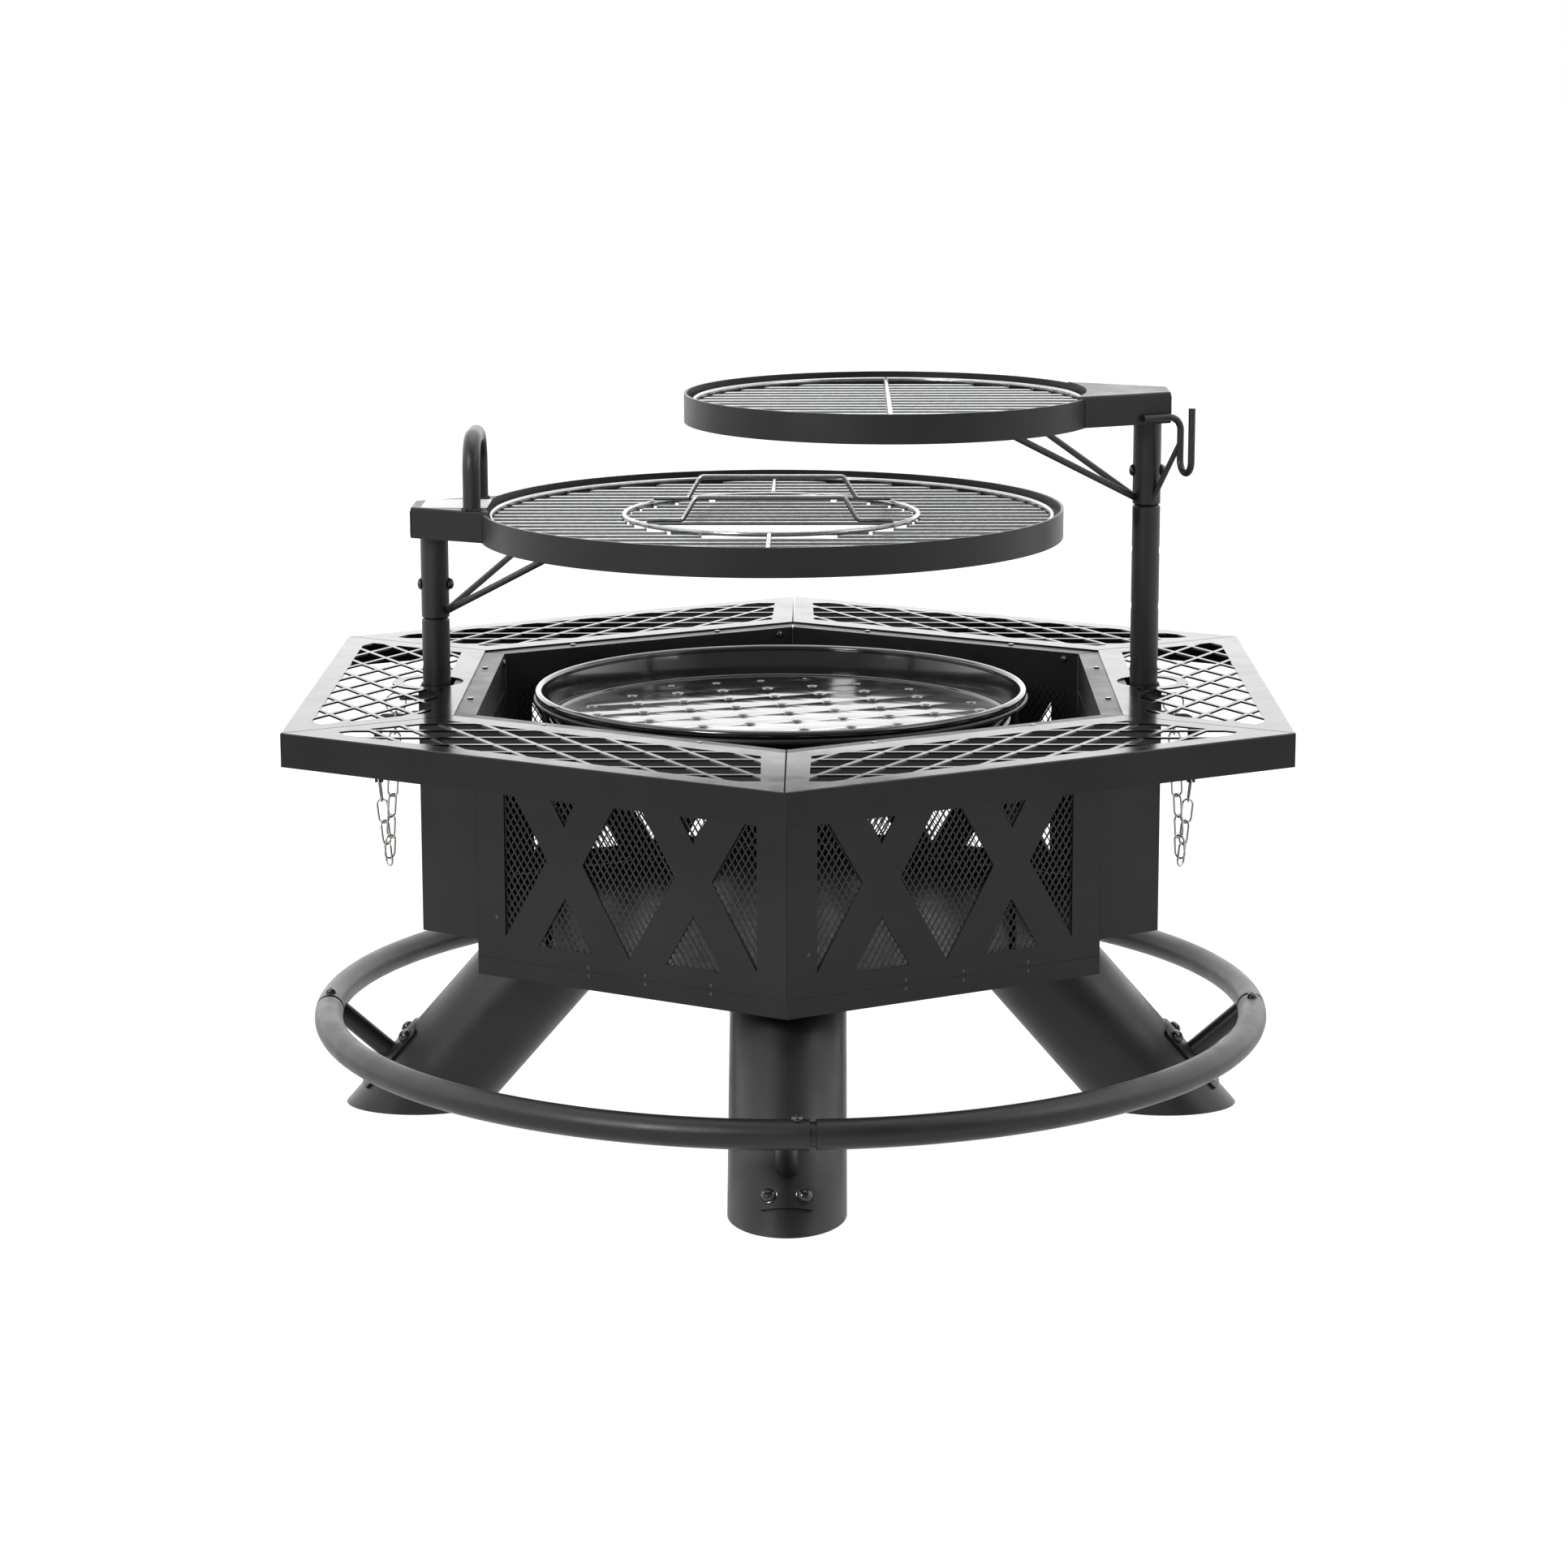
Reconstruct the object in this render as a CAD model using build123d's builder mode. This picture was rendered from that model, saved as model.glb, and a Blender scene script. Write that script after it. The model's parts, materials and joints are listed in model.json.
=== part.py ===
"""Hexagonal steel fire pit with a table rim, a foot ring and two grates on swivelling posts.

Millimetres.  The origin is on the ground at the centre of the pit, +Z is up and -Y is the front.
The table corners point to the front and to the back, and the posts stand on the X axis.
"""

import os
from math import atan2, cos, degrees, hypot, radians, sin, sqrt, tan

from build123d import *

os.makedirs("parts", exist_ok=True)

# ---------------------------------------------------------------- driving dimensions
TABLE_HEIGHT = 476.0
TABLE_CORNER_RADIUS = 600.0
TABLE_OPENING_RADIUS = 405.0
TABLE_SHEET = 2.0
TABLE_SKIRT = 35.5
MITRE_GAP = 0.8

BODY_CORNER_RADIUS = 381.0
BODY_SHEET = 2.0
BODY_BOTTOM = 194.5
BODY_SEAM = 214.0
BODY_FLANGE_WIDTH = 38.0
SCREEN_SHEET = 1.2

LEG_FOOT_RADIUS = 416.0
LEG_TILT = 41.0
LEG_TUBE_RADIUS = 61.0
LEG_WALL = 2.5

RING_RADIUS = 511.0
RING_HEIGHT = 112.0
RING_TUBE_RADIUS = 15.5
RING_WALL = 2.5
RING_JOINTS = (-87.4, -1.9, 92.6, 182.7)

POST_OFFSET = 387.0
POST_RADIUS = 15.2
POST_WALL = 2.5
HOLE_PITCH = 62.0
SLEEVE_LENGTH = 121.0
LEFT_SLEEVE_BOTTOM = TABLE_HEIGHT + 72.5
RIGHT_SLEEVE_BOTTOM = LEFT_SLEEVE_BOTTOM + 2 * HOLE_PITCH
LEFT_POST_LENGTH = 268.0
RIGHT_POST_LENGTH = 330.0
FIRST_HOLE = 51.0

BAND_SHEET = 3.0
BAND_HEIGHT = 31.0
LOWER_CENTRE_X = -20.0
LOWER_BAND_RADIUS = 317.0
UPPER_CENTRE_X = 107.0
UPPER_BAND_RADIUS = 221.0

PAN_CENTRE_X = -10.0
PAN_RIM_RADIUS = 267.3
PAN_FLOOR_RADIUS = 250.0
PAN_RIM_HEIGHT = TABLE_HEIGHT - 4.5
PAN_DEPTH = 34.5
PAN_SHEET = 1.6

CLEAR = 0.3

# ---------------------------------------------------------------- derived dimensions
HALF_CORNER = radians(30)
TABLE_FLAT = TABLE_CORNER_RADIUS * cos(HALF_CORNER)
OPENING_FLAT = TABLE_OPENING_RADIUS * cos(HALF_CORNER)
BODY_FLAT = BODY_CORNER_RADIUS * cos(HALF_CORNER)
TABLE_UNDERSIDE = TABLE_HEIGHT - TABLE_SHEET
LEFT_BAND_TOP = LEFT_SLEEVE_BOTTOM + SLEEVE_LENGTH
RIGHT_BAND_TOP = RIGHT_SLEEVE_BOTTOM + SLEEVE_LENGTH
PIN_HEIGHT = LEFT_SLEEVE_BOTTOM - FIRST_HOLE - HOLE_PITCH

FACES = {
    "front_left": 240,
    "front_right": 300,
    "right": 0,
    "back_right": 60,
    "back_left": 120,
    "left": 180,
}
QUARTERS = {"front": -90, "right": 0, "back": 90, "left": 180}


def write(builder, label):
    """Label a finished piece and write its STEP file."""
    builder.part.label = label
    export_step(builder.part, f"parts/{label}.step")


def radial_plane(azimuth, height=0.0):
    """Horizontal plane whose x axis points outward at the azimuth."""
    a = radians(azimuth)
    return Plane(origin=(0, 0, height), x_dir=(cos(a), sin(a), 0), z_dir=(0, 0, 1))


def wall_plane(azimuth, distance):
    """Upright plane at a distance from the centre, facing outward, with its y axis up."""
    a = radians(azimuth)
    return Plane(
        origin=(distance * cos(a), distance * sin(a), 0),
        x_dir=(-sin(a), cos(a), 0),
        z_dir=(cos(a), sin(a), 0),
    )


def mitred(inner, outer, gap=MITRE_GAP):
    """Corners of one sixth of a hexagonal strip between two flats, short of its mitres."""
    slope = tan(HALF_CORNER)
    short = gap / cos(HALF_CORNER)
    half_in = inner * slope - short
    half_out = outer * slope - short
    return [(inner, -half_in), (outer, -half_out), (outer, half_out), (inner, half_in)]


# ---------------------------------------------------------------- table rim
LATTICE_ANGLE = 30.0
LATTICE_PITCH = 38.2
LATTICE_CENTRE = 437.5
LATTICE_BAR = 5.0
LATTICE_OUTER_MARGIN = 24.5
LATTICE_INNER_MARGIN = 26.0
LATTICE_MITRE_MARGIN = 25.0
LATTICE_CORNER_CUT = 22.0
LATTICE_MIN_CELL = 40.0
POST_OPENING_RADIUS = 33.0
POST_OPENING_RING = 45.0
POST_OPENING_OFFSET = POST_OFFSET + 4.0
SCREW_SPREAD = 95.0
SCREW_CIRCLE = BODY_FLAT + 12.0
SCREW_RADIUS = 3.0


def lattice_outline():
    """Outline of the pierced field of a table panel, with its sharp corners cut."""
    inner = OPENING_FLAT + LATTICE_INNER_MARGIN
    outer = TABLE_FLAT - LATTICE_OUTER_MARGIN
    field = mitred(inner, outer, LATTICE_MITRE_MARGIN)
    return field[:1] + [
        (outer - LATTICE_CORNER_CUT * 0.5, field[1][1] + LATTICE_CORNER_CUT * 0.2),
        (outer, field[1][1] + LATTICE_CORNER_CUT),
        (outer, field[2][1] - LATTICE_CORNER_CUT),
        (outer - LATTICE_CORNER_CUT * 0.5, field[2][1] - LATTICE_CORNER_CUT * 0.2),
    ] + field[3:]


def table_panel(azimuth, has_post):
    with BuildSketch(radial_plane(azimuth, TABLE_UNDERSIDE)) as cells:
        with BuildLine():
            Polyline(*lattice_outline(), close=True)
        make_face()
        step = LATTICE_PITCH / sin(radians(LATTICE_ANGLE))
        for side in (-1, 1):
            for k in range(-9, 9):
                with Locations((LATTICE_CENTRE, (k + 0.5) * step)):
                    Rectangle(
                        LATTICE_BAR,
                        2 * TABLE_FLAT,
                        rotation=side * LATTICE_ANGLE,
                        mode=Mode.SUBTRACT,
                    )
        if has_post:
            with Locations((POST_OPENING_OFFSET, 0)):
                Circle(POST_OPENING_RING, mode=Mode.SUBTRACT)
    open_cells = [face for face in cells.sketch.faces() if face.area > LATTICE_MIN_CELL]
    with BuildPart() as panel:
        with BuildSketch(radial_plane(azimuth, TABLE_UNDERSIDE)):
            with BuildLine():
                Polyline(*mitred(OPENING_FLAT, TABLE_FLAT), close=True)
            make_face()
        extrude(amount=TABLE_SHEET)
        with BuildSketch(radial_plane(azimuth, TABLE_HEIGHT - TABLE_SKIRT)):
            with BuildLine():
                Polyline(*mitred(TABLE_FLAT - TABLE_SHEET, TABLE_FLAT), close=True)
            make_face()
        extrude(amount=TABLE_SKIRT)
        outward = Axis((0, 0, 0), (cos(radians(azimuth)), sin(radians(azimuth)), 0))
        fold = panel.edges().group_by(Axis.Z)[-1].sort_by(outward)[-1]
        fillet(fold, TABLE_SHEET * 0.8)
        extrude(to_extrude=open_cells, amount=TABLE_SHEET, mode=Mode.SUBTRACT)
        if has_post:
            with BuildSketch(radial_plane(azimuth, TABLE_UNDERSIDE)):
                with Locations((POST_OPENING_OFFSET, 0)):
                    Circle(POST_OPENING_RADIUS)
            extrude(amount=TABLE_SHEET, mode=Mode.SUBTRACT)
    return panel


for face, azimuth in FACES.items():
    panel = table_panel(azimuth, face in ("left", "right"))
    write(panel, f"table_panel_{face}")

# ---------------------------------------------------------------- body
CUT_SLOPE = 1.65
CUT_HALF_HEIGHT = 93.5
CUT_MIDDLE = TABLE_HEIGHT - 148.4
CROSS_OFFSET = 79.0
CROSS_WAIST = 22.3
CROSS_APEX = 38.0
CUT_SIDE = 155.0
TAB_WIDTH = 20.0
TAB_DEPTH = 14.0
TAB_PLACES = (-50.0, 20.0, 100.0)
TAB_SLOT = 280.0


def crossed_cuts():
    """The openings that leave two X shapes side by side, about the middle of a body panel."""
    half = CROSS_OFFSET - CROSS_WAIST
    with BuildSketch(mode=Mode.PRIVATE) as cuts:
        Polygon((-half, 0), (0, -CUT_HALF_HEIGHT), (half, 0), (0, CUT_HALF_HEIGHT), align=None)
        for side in (-1, 1):
            foot = (CUT_HALF_HEIGHT - CROSS_APEX) / CUT_SLOPE
            centre = side * CROSS_OFFSET
            for up in (-1, 1):
                Polygon(
                    (centre, up * CROSS_APEX),
                    (centre - foot, up * CUT_HALF_HEIGHT),
                    (centre + foot, up * CUT_HALF_HEIGHT),
                    align=None,
                )
            tip = centre + side * CROSS_WAIST
            edge = side * CUT_SIDE
            rise = (CUT_SIDE - CROSS_OFFSET - CROSS_WAIST) * CUT_SLOPE
            Polygon((tip, 0), (edge, -rise), (edge, rise), align=None)
    return cuts.sketch


def body_panel(azimuth):
    cuts = crossed_cuts()
    flange_top = TABLE_UNDERSIDE
    with BuildPart() as panel:
        with BuildSketch(radial_plane(azimuth, BODY_SEAM + CLEAR)):
            with BuildLine():
                Polyline(*mitred(BODY_FLAT - BODY_SHEET, BODY_FLAT, 0.2), close=True)
            make_face()
        extrude(amount=flange_top - BODY_SEAM - CLEAR)
        with BuildSketch(radial_plane(azimuth, flange_top - BODY_SHEET)):
            with BuildLine():
                Polyline(*mitred(BODY_FLAT - BODY_SHEET, BODY_FLAT + BODY_FLANGE_WIDTH), close=True)
            make_face()
        extrude(amount=BODY_SHEET)
        with BuildSketch(wall_plane(azimuth, BODY_FLAT - BODY_SHEET)):
            with Locations((0, CUT_MIDDLE)):
                add(cuts)
        extrude(amount=BODY_SHEET, mode=Mode.SUBTRACT)
        with BuildSketch(wall_plane(azimuth, BODY_FLAT - 2 * BODY_SHEET - 0.2)):
            with Locations(*[(place, BODY_SEAM + CLEAR) for place in TAB_PLACES]):
                Rectangle(TAB_WIDTH, 2 * TAB_DEPTH)
        extrude(amount=BODY_SHEET + 0.2)
        with BuildSketch(wall_plane(azimuth, BODY_FLAT - BODY_SHEET - 0.2)):
            with Locations((0, BODY_SEAM + CLEAR)):
                Rectangle(TAB_SLOT, 2 * TAB_DEPTH, align=(Align.CENTER, Align.MAX))
        extrude(amount=BODY_SHEET, mode=Mode.SUBTRACT)
        with Locations(*screw_places(azimuth, flange_top - BODY_SHEET)):
            Cylinder(SCREW_RADIUS + CLEAR, 3 * BODY_SHEET, mode=Mode.SUBTRACT)
    return panel


def screw_places(azimuth, height):
    """Centres of the two screws through the flange of one body panel."""
    a = radians(azimuth)
    return [
        (
            SCREW_CIRCLE * cos(a) - side * SCREW_SPREAD * sin(a),
            SCREW_CIRCLE * sin(a) + side * SCREW_SPREAD * cos(a),
            height,
        )
        for side in (-1, 1)
    ]


for face, azimuth in FACES.items():
    panel = body_panel(azimuth)
    write(panel, f"body_panel_{face}")

SCREEN_BOTTOM = BODY_SEAM + 16.0
SCREEN_TOP = TABLE_UNDERSIDE - 40.0
SCREEN_HALF_WIDTH = 172.0


def mesh_screen(azimuth):
    """Flat blank that stands for the expanded mesh behind a body panel."""
    back = BODY_FLAT - BODY_SHEET - CLEAR - SCREEN_SHEET
    with BuildPart() as screen:
        with BuildSketch(wall_plane(azimuth, back)):
            with Locations((0, (SCREEN_BOTTOM + SCREEN_TOP) / 2)):
                Rectangle(2 * SCREEN_HALF_WIDTH, SCREEN_TOP - SCREEN_BOTTOM)
        extrude(amount=SCREEN_SHEET)
    return screen


for face, azimuth in FACES.items():
    screen = mesh_screen(azimuth)
    write(screen, f"mesh_screen_{face}")

TRAY_INNER_RADIUS = BODY_CORNER_RADIUS - BODY_SHEET / cos(HALF_CORNER)
STAND_ROD_RADIUS = 4.0
STAND_RADIUS = PAN_RIM_RADIUS - 1.5

with BuildPart() as base_tray:
    with BuildSketch(Plane.XY.offset(BODY_BOTTOM)):
        RegularPolygon(BODY_CORNER_RADIUS, 6, rotation=30)
    extrude(amount=BODY_SEAM - BODY_BOTTOM)
    with BuildSketch(Plane.XY.offset(BODY_BOTTOM + BODY_SHEET)):
        RegularPolygon(TRAY_INNER_RADIUS, 6, rotation=30)
    extrude(amount=BODY_SEAM, mode=Mode.SUBTRACT)
write(base_tray, "base_tray")

SCREW_HEAD_RADIUS = 6.0
SCREW_HEAD_HEIGHT = 3.0

with BuildPart() as flange_screws:
    for azimuth in FACES.values():
        under_flange = TABLE_UNDERSIDE - BODY_SHEET
        for place in screw_places(azimuth, under_flange):
            with Locations((place[0], place[1], under_flange - SCREW_HEAD_HEIGHT)):
                Cylinder(
                    SCREW_HEAD_RADIUS,
                    SCREW_HEAD_HEIGHT - 0.02,
                    align=(Align.CENTER, Align.CENTER, Align.MIN),
                )
                Cylinder(
                    SCREW_RADIUS,
                    SCREW_HEAD_HEIGHT + BODY_SHEET + 1.5,
                    align=(Align.CENTER, Align.CENTER, Align.MIN),
                )
write(flange_screws, "flange_screws")

# ---------------------------------------------------------------- legs and foot ring
SIN_TILT = sin(radians(LEG_TILT))
COS_TILT = cos(radians(LEG_TILT))
RING_REACH = (RING_RADIUS - LEG_FOOT_RADIUS) * COS_TILT + RING_HEIGHT * SIN_TILT
STRUT_STATION = (LEG_FOOT_RADIUS - RING_RADIUS) * SIN_TILT + RING_HEIGHT * COS_TILT
PLATE_THICKNESS = 3.0
PLATE_LENGTH = 87.0
PLATE_HALF_ANGLE = 27.0
STRUT_RADIUS = 11.0
BOLT_RADIUS = 4.0
BOLT_HEAD_RADIUS = 7.0
BOLT_HEAD_HEIGHT = 5.5
BOLT_ALONG = 29.0
BOLT_ANGLE = 16.5
PLATE_CORNER = 5.0
NECK_PLUG_ANGLE = 2.6
NECK_GAP_ANGLE = 0.75
SHOULDER_ANGLE = 0.6
RING_SCREW_ANGLE = 1.4
NECK_CLEARANCE = 0.2


def leg_plane(azimuth, station):
    """Plane across a leg tube at a station along its axis, x axis to its upper outer side."""
    a = radians(azimuth)
    reach = LEG_FOOT_RADIUS - station * SIN_TILT
    return Plane(
        origin=(reach * cos(a), reach * sin(a), station * COS_TILT),
        x_dir=(COS_TILT * cos(a), COS_TILT * sin(a), SIN_TILT),
        z_dir=(-SIN_TILT * cos(a), -SIN_TILT * sin(a), COS_TILT),
    )


def bolt_planes(azimuth):
    """Planes on the leg axis, looking out along each of the four bolts of a ring bracket."""
    planes = []
    for along in (-BOLT_ALONG, BOLT_ALONG):
        across = leg_plane(azimuth, STRUT_STATION + along)
        for turn in (-BOLT_ANGLE, BOLT_ANGLE):
            turned = across.rotated((0, 0, turn))
            planes.append(Plane(origin=across.origin, x_dir=across.z_dir, z_dir=turned.x_dir))
    return planes


def leg(azimuth):
    length = 2 * BODY_BOTTOM
    with BuildPart() as tube:
        with BuildSketch(leg_plane(azimuth, 0)):
            Circle(LEG_TUBE_RADIUS)
            Circle(LEG_TUBE_RADIUS - LEG_WALL, mode=Mode.SUBTRACT)
        extrude(amount=length, both=True)
        split(bisect_by=Plane.XY, keep=Keep.TOP)
        split(bisect_by=Plane.XY.offset(BODY_BOTTOM), keep=Keep.BOTTOM)
        for plane in bolt_planes(azimuth):
            with Locations(plane.offset(LEG_TUBE_RADIUS)):
                Cylinder(BOLT_RADIUS + CLEAR, 20, mode=Mode.SUBTRACT)
    return tube


def ring_bracket(azimuth):
    """Curved plate on the leg and the strut that carries the foot ring."""
    inside = LEG_TUBE_RADIUS + 0.02
    outside = inside + PLATE_THICKNESS
    with BuildPart() as bracket:
        with BuildSketch(leg_plane(azimuth, STRUT_STATION - PLATE_LENGTH / 2)):
            with BuildLine():
                CenterArc((0, 0), outside, -PLATE_HALF_ANGLE, 2 * PLATE_HALF_ANGLE)
                CenterArc((0, 0), inside, -PLATE_HALF_ANGLE, 2 * PLATE_HALF_ANGLE)
                for end in (-PLATE_HALF_ANGLE, PLATE_HALF_ANGLE):
                    a = radians(end)
                    start = (inside * cos(a), inside * sin(a))
                    Line(start, (outside * cos(a), outside * sin(a)))
            make_face()
        extrude(amount=PLATE_LENGTH)
        corners = bracket.edges().filter_by(lambda e: abs(e.length - PLATE_THICKNESS) < 0.01)
        fillet(corners, PLATE_CORNER)
        across = leg_plane(azimuth, STRUT_STATION)
        strut_plane = Plane(origin=across.origin, x_dir=across.z_dir, z_dir=across.x_dir)
        with BuildSketch(strut_plane.offset(outside - 1.0)):
            Circle(STRUT_RADIUS)
            Circle(STRUT_RADIUS - 2.0, mode=Mode.SUBTRACT)
        extrude(amount=RING_REACH - outside + 1.0)
        with Locations((0, 0, RING_HEIGHT)):
            Torus(RING_RADIUS, RING_TUBE_RADIUS + 0.02, mode=Mode.SUBTRACT)
        for plane in bolt_planes(azimuth):
            with Locations(plane.offset(LEG_TUBE_RADIUS)):
                Cylinder(BOLT_RADIUS + CLEAR, 20, mode=Mode.SUBTRACT)
    return bracket


def revolved_tube(start, end, outer, inner):
    """Round tube bent about the Z axis at the ring radius, added to the part in progress."""
    a = radians(start)
    section = Plane(origin=(0, 0, 0), x_dir=(cos(a), sin(a), 0), z_dir=(sin(a), -cos(a), 0))
    with BuildSketch(section) as wall:
        with Locations((RING_RADIUS, RING_HEIGHT)):
            Circle(outer)
            Circle(inner, mode=Mode.SUBTRACT)
    revolve(profiles=wall.sketch, axis=Axis.Z, revolution_arc=end - start)


def ring_segment(start, end):
    """Part of the foot ring, whose reduced neck plugs into the end of the part before it."""
    bore = RING_TUBE_RADIUS - RING_WALL
    neck = bore - NECK_CLEARANCE
    shoulder = start + NECK_GAP_ANGLE
    with BuildPart() as segment:
        revolved_tube(start - NECK_PLUG_ANGLE, shoulder + SHOULDER_ANGLE, neck, neck - RING_WALL)
        revolved_tube(shoulder, shoulder + SHOULDER_ANGLE, RING_TUBE_RADIUS, neck - 0.5)
        revolved_tube(shoulder + SHOULDER_ANGLE / 2, end, RING_TUBE_RADIUS, bore)
        for joint in (start, end):
            b = radians(joint - RING_SCREW_ANGLE)
            with Locations((RING_RADIUS * cos(b), RING_RADIUS * sin(b), RING_HEIGHT + RING_TUBE_RADIUS)):
                Cylinder(SCREW_RADIUS + CLEAR, 16, mode=Mode.SUBTRACT)
    return segment


for side, azimuth in QUARTERS.items():
    tube = leg(azimuth)
    write(tube, f"leg_{side}")
    bracket = ring_bracket(azimuth)
    write(bracket, f"ring_bracket_{side}")

SEGMENT_NAMES = ("front_right", "back_right", "back_left", "front_left")
for index, name in enumerate(SEGMENT_NAMES):
    start = RING_JOINTS[index]
    end = RING_JOINTS[(index + 1) % 4] + (360 if index == 3 else 0)
    segment = ring_segment(start, end)
    write(segment, f"foot_ring_{name}")

with BuildPart() as frame_bolts:
    for azimuth in QUARTERS.values():
        for plane in bolt_planes(azimuth):
            seat = LEG_TUBE_RADIUS + PLATE_THICKNESS + 0.05
            with Locations(plane.offset(LEG_TUBE_RADIUS - LEG_WALL - 4)):
                Cylinder(
                    BOLT_RADIUS,
                    LEG_WALL + PLATE_THICKNESS + 6,
                    align=(Align.CENTER, Align.CENTER, Align.MIN),
                )
            with BuildSketch(plane.offset(seat + 0.5)):
                RegularPolygon(BOLT_HEAD_RADIUS, 6)
            extrude(amount=BOLT_HEAD_HEIGHT)
    for joint in RING_JOINTS:
        b = radians(joint - RING_SCREW_ANGLE)
        top = RING_HEIGHT + RING_TUBE_RADIUS
        with Locations((RING_RADIUS * cos(b), RING_RADIUS * sin(b), top - 6)):
            Cylinder(SCREW_RADIUS, 7, align=(Align.CENTER, Align.CENTER, Align.MIN))
        with Locations((RING_RADIUS * cos(b), RING_RADIUS * sin(b), top + 0.05)):
            Cylinder(SCREW_HEAD_RADIUS, 4, align=(Align.CENTER, Align.CENTER, Align.MIN))
write(frame_bolts, "frame_bolts")

# ---------------------------------------------------------------- pins and chains
PIN_RADIUS = 4.75
PIN_TIP = 403.3
PIN_LEG = {"left": -453.0, "right": 441.0}
PIN_DROP = 72.0
PIN_BEND = 9.0
PIN_EYE_RISE = 5.5
PIN_EYE_RADIUS = 2.8
PIN_EYE_PLAY = 0.6
PIN_TANG = 4.6
LINK_LENGTH = 28.7
LINK_WIDTH = 14.5
LINK_WIRE = 1.15
LINK_PITCH = LINK_LENGTH - 4 * LINK_WIRE - 0.3
CHAIN_RING_RADIUS = 11.0
CHAIN_RING_WIRE = 1.0
CHAIN_RING_OFFSET = 30.0
CHAIN_RING_HEIGHT = TABLE_HEIGHT - 18.5
CHAIN_RING_INSET = 23.5
CHAIN_LONG_LINKS = 7
CHAIN_SHORT_LINKS = 4
CHAIN_TURN = (11.5, 14.0)

# ---------------------------------------------------------------- post housings
HOUSING_OUTER = 405.5
HOUSING_SHEET = 1.5
HOUSING_WALL_HALF = 70.0
HOUSING_FACE_HALF = 21.0
HOUSING_BOTTOM = TABLE_HEIGHT - 275.0
HOUSING_TOP = TABLE_UNDERSIDE - BODY_SHEET - 0.2
PIN_CLEARANCE = 0.3
GUIDE_RADIUS = 8.0
GUIDE_LENGTH = 9.5
GUIDE_PLATE_HEIGHTS = (PIN_HEIGHT - 27.0, PIN_HEIGHT + 25.0)
GUIDE_PLATE = 3.0
STAPLE_RADIUS = 1.5
STAPLE_HALF = 8.0
STAPLE_SHIFT = 6.0
STAPLE_HEIGHT = CHAIN_RING_HEIGHT + STAPLE_SHIFT
STAPLE_SINK = 0.2


def housing_outline(inset):
    """Half-hexagonal outline of a post housing, drawn inside its sheet by the inset."""
    slant = hypot(HOUSING_OUTER - BODY_FLAT, HOUSING_WALL_HALF - HOUSING_FACE_HALF)
    lean = (HOUSING_WALL_HALF - HOUSING_FACE_HALF) / (HOUSING_OUTER - BODY_FLAT)
    shift = inset * slant / (HOUSING_OUTER - BODY_FLAT)
    outer = HOUSING_OUTER - inset
    half_out = HOUSING_FACE_HALF - shift + inset * lean
    half_in = HOUSING_WALL_HALF - shift
    return [(BODY_FLAT, -half_in), (outer, -half_out), (outer, half_out), (BODY_FLAT, half_in)]


def housing_face(y):
    """Distance of the slanting face of a housing from the centre at a distance from the X axis."""
    lean = (HOUSING_OUTER - BODY_FLAT) / (HOUSING_WALL_HALF - HOUSING_FACE_HALF)
    return HOUSING_OUTER - (y - HOUSING_FACE_HALF) * lean


def post_housing(azimuth, leg_x):
    """Folded cover of a post, with the pin guide and the chain staple on its outer face."""
    with BuildPart() as housing:
        with BuildSketch(radial_plane(azimuth, HOUSING_BOTTOM)):
            with BuildLine():
                Polyline(*housing_outline(0), close=True)
            make_face()
        extrude(amount=HOUSING_TOP - HOUSING_BOTTOM)
        with BuildSketch(radial_plane(azimuth, HOUSING_BOTTOM + HOUSING_SHEET)):
            with BuildLine():
                Polyline(*housing_outline(HOUSING_SHEET), close=True)
            make_face()
        extrude(amount=TABLE_HEIGHT, mode=Mode.SUBTRACT)
        with BuildSketch(wall_plane(azimuth, HOUSING_OUTER)):
            with Locations((0, PIN_HEIGHT)):
                Circle(GUIDE_RADIUS)
        extrude(amount=GUIDE_LENGTH)
        with BuildSketch(wall_plane(azimuth, HOUSING_OUTER - 2 * HOUSING_SHEET)):
            with Locations((0, PIN_HEIGHT)):
                Circle(PIN_RADIUS + PIN_CLEARANCE)
        extrude(amount=GUIDE_LENGTH + 3 * HOUSING_SHEET, mode=Mode.SUBTRACT)
        side = 1 if leg_x > 0 else -1
        bar_x = leg_x - side * (CHAIN_RING_INSET + STAPLE_SHIFT)
        near = CHAIN_RING_OFFSET - STAPLE_HALF
        far = CHAIN_RING_OFFSET + STAPLE_HALF
        with BuildLine() as staple:
            FilletPolyline(
                (side * (housing_face(near) - STAPLE_SINK), -near, STAPLE_HEIGHT),
                (bar_x, -near, STAPLE_HEIGHT),
                (bar_x, -far, STAPLE_HEIGHT),
                (side * (housing_face(far) - STAPLE_SINK), -far, STAPLE_HEIGHT),
                radius=2.5,
            )
        with BuildSketch(Plane(origin=staple.line @ 0, z_dir=staple.line % 0)):
            Circle(STAPLE_RADIUS)
        sweep(path=staple.line)
    return housing


def post_guides(azimuth):
    """Two plates inside a housing, bored for the post."""
    with BuildPart() as guides:
        for height in GUIDE_PLATE_HEIGHTS:
            with BuildSketch(radial_plane(azimuth, height)):
                with BuildLine():
                    Polyline(*housing_outline(HOUSING_SHEET + 0.05), close=True)
                make_face()
                with Locations((POST_OFFSET, 0)):
                    Circle(POST_RADIUS + CLEAR, mode=Mode.SUBTRACT)
            extrude(amount=GUIDE_PLATE)
    return guides


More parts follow.
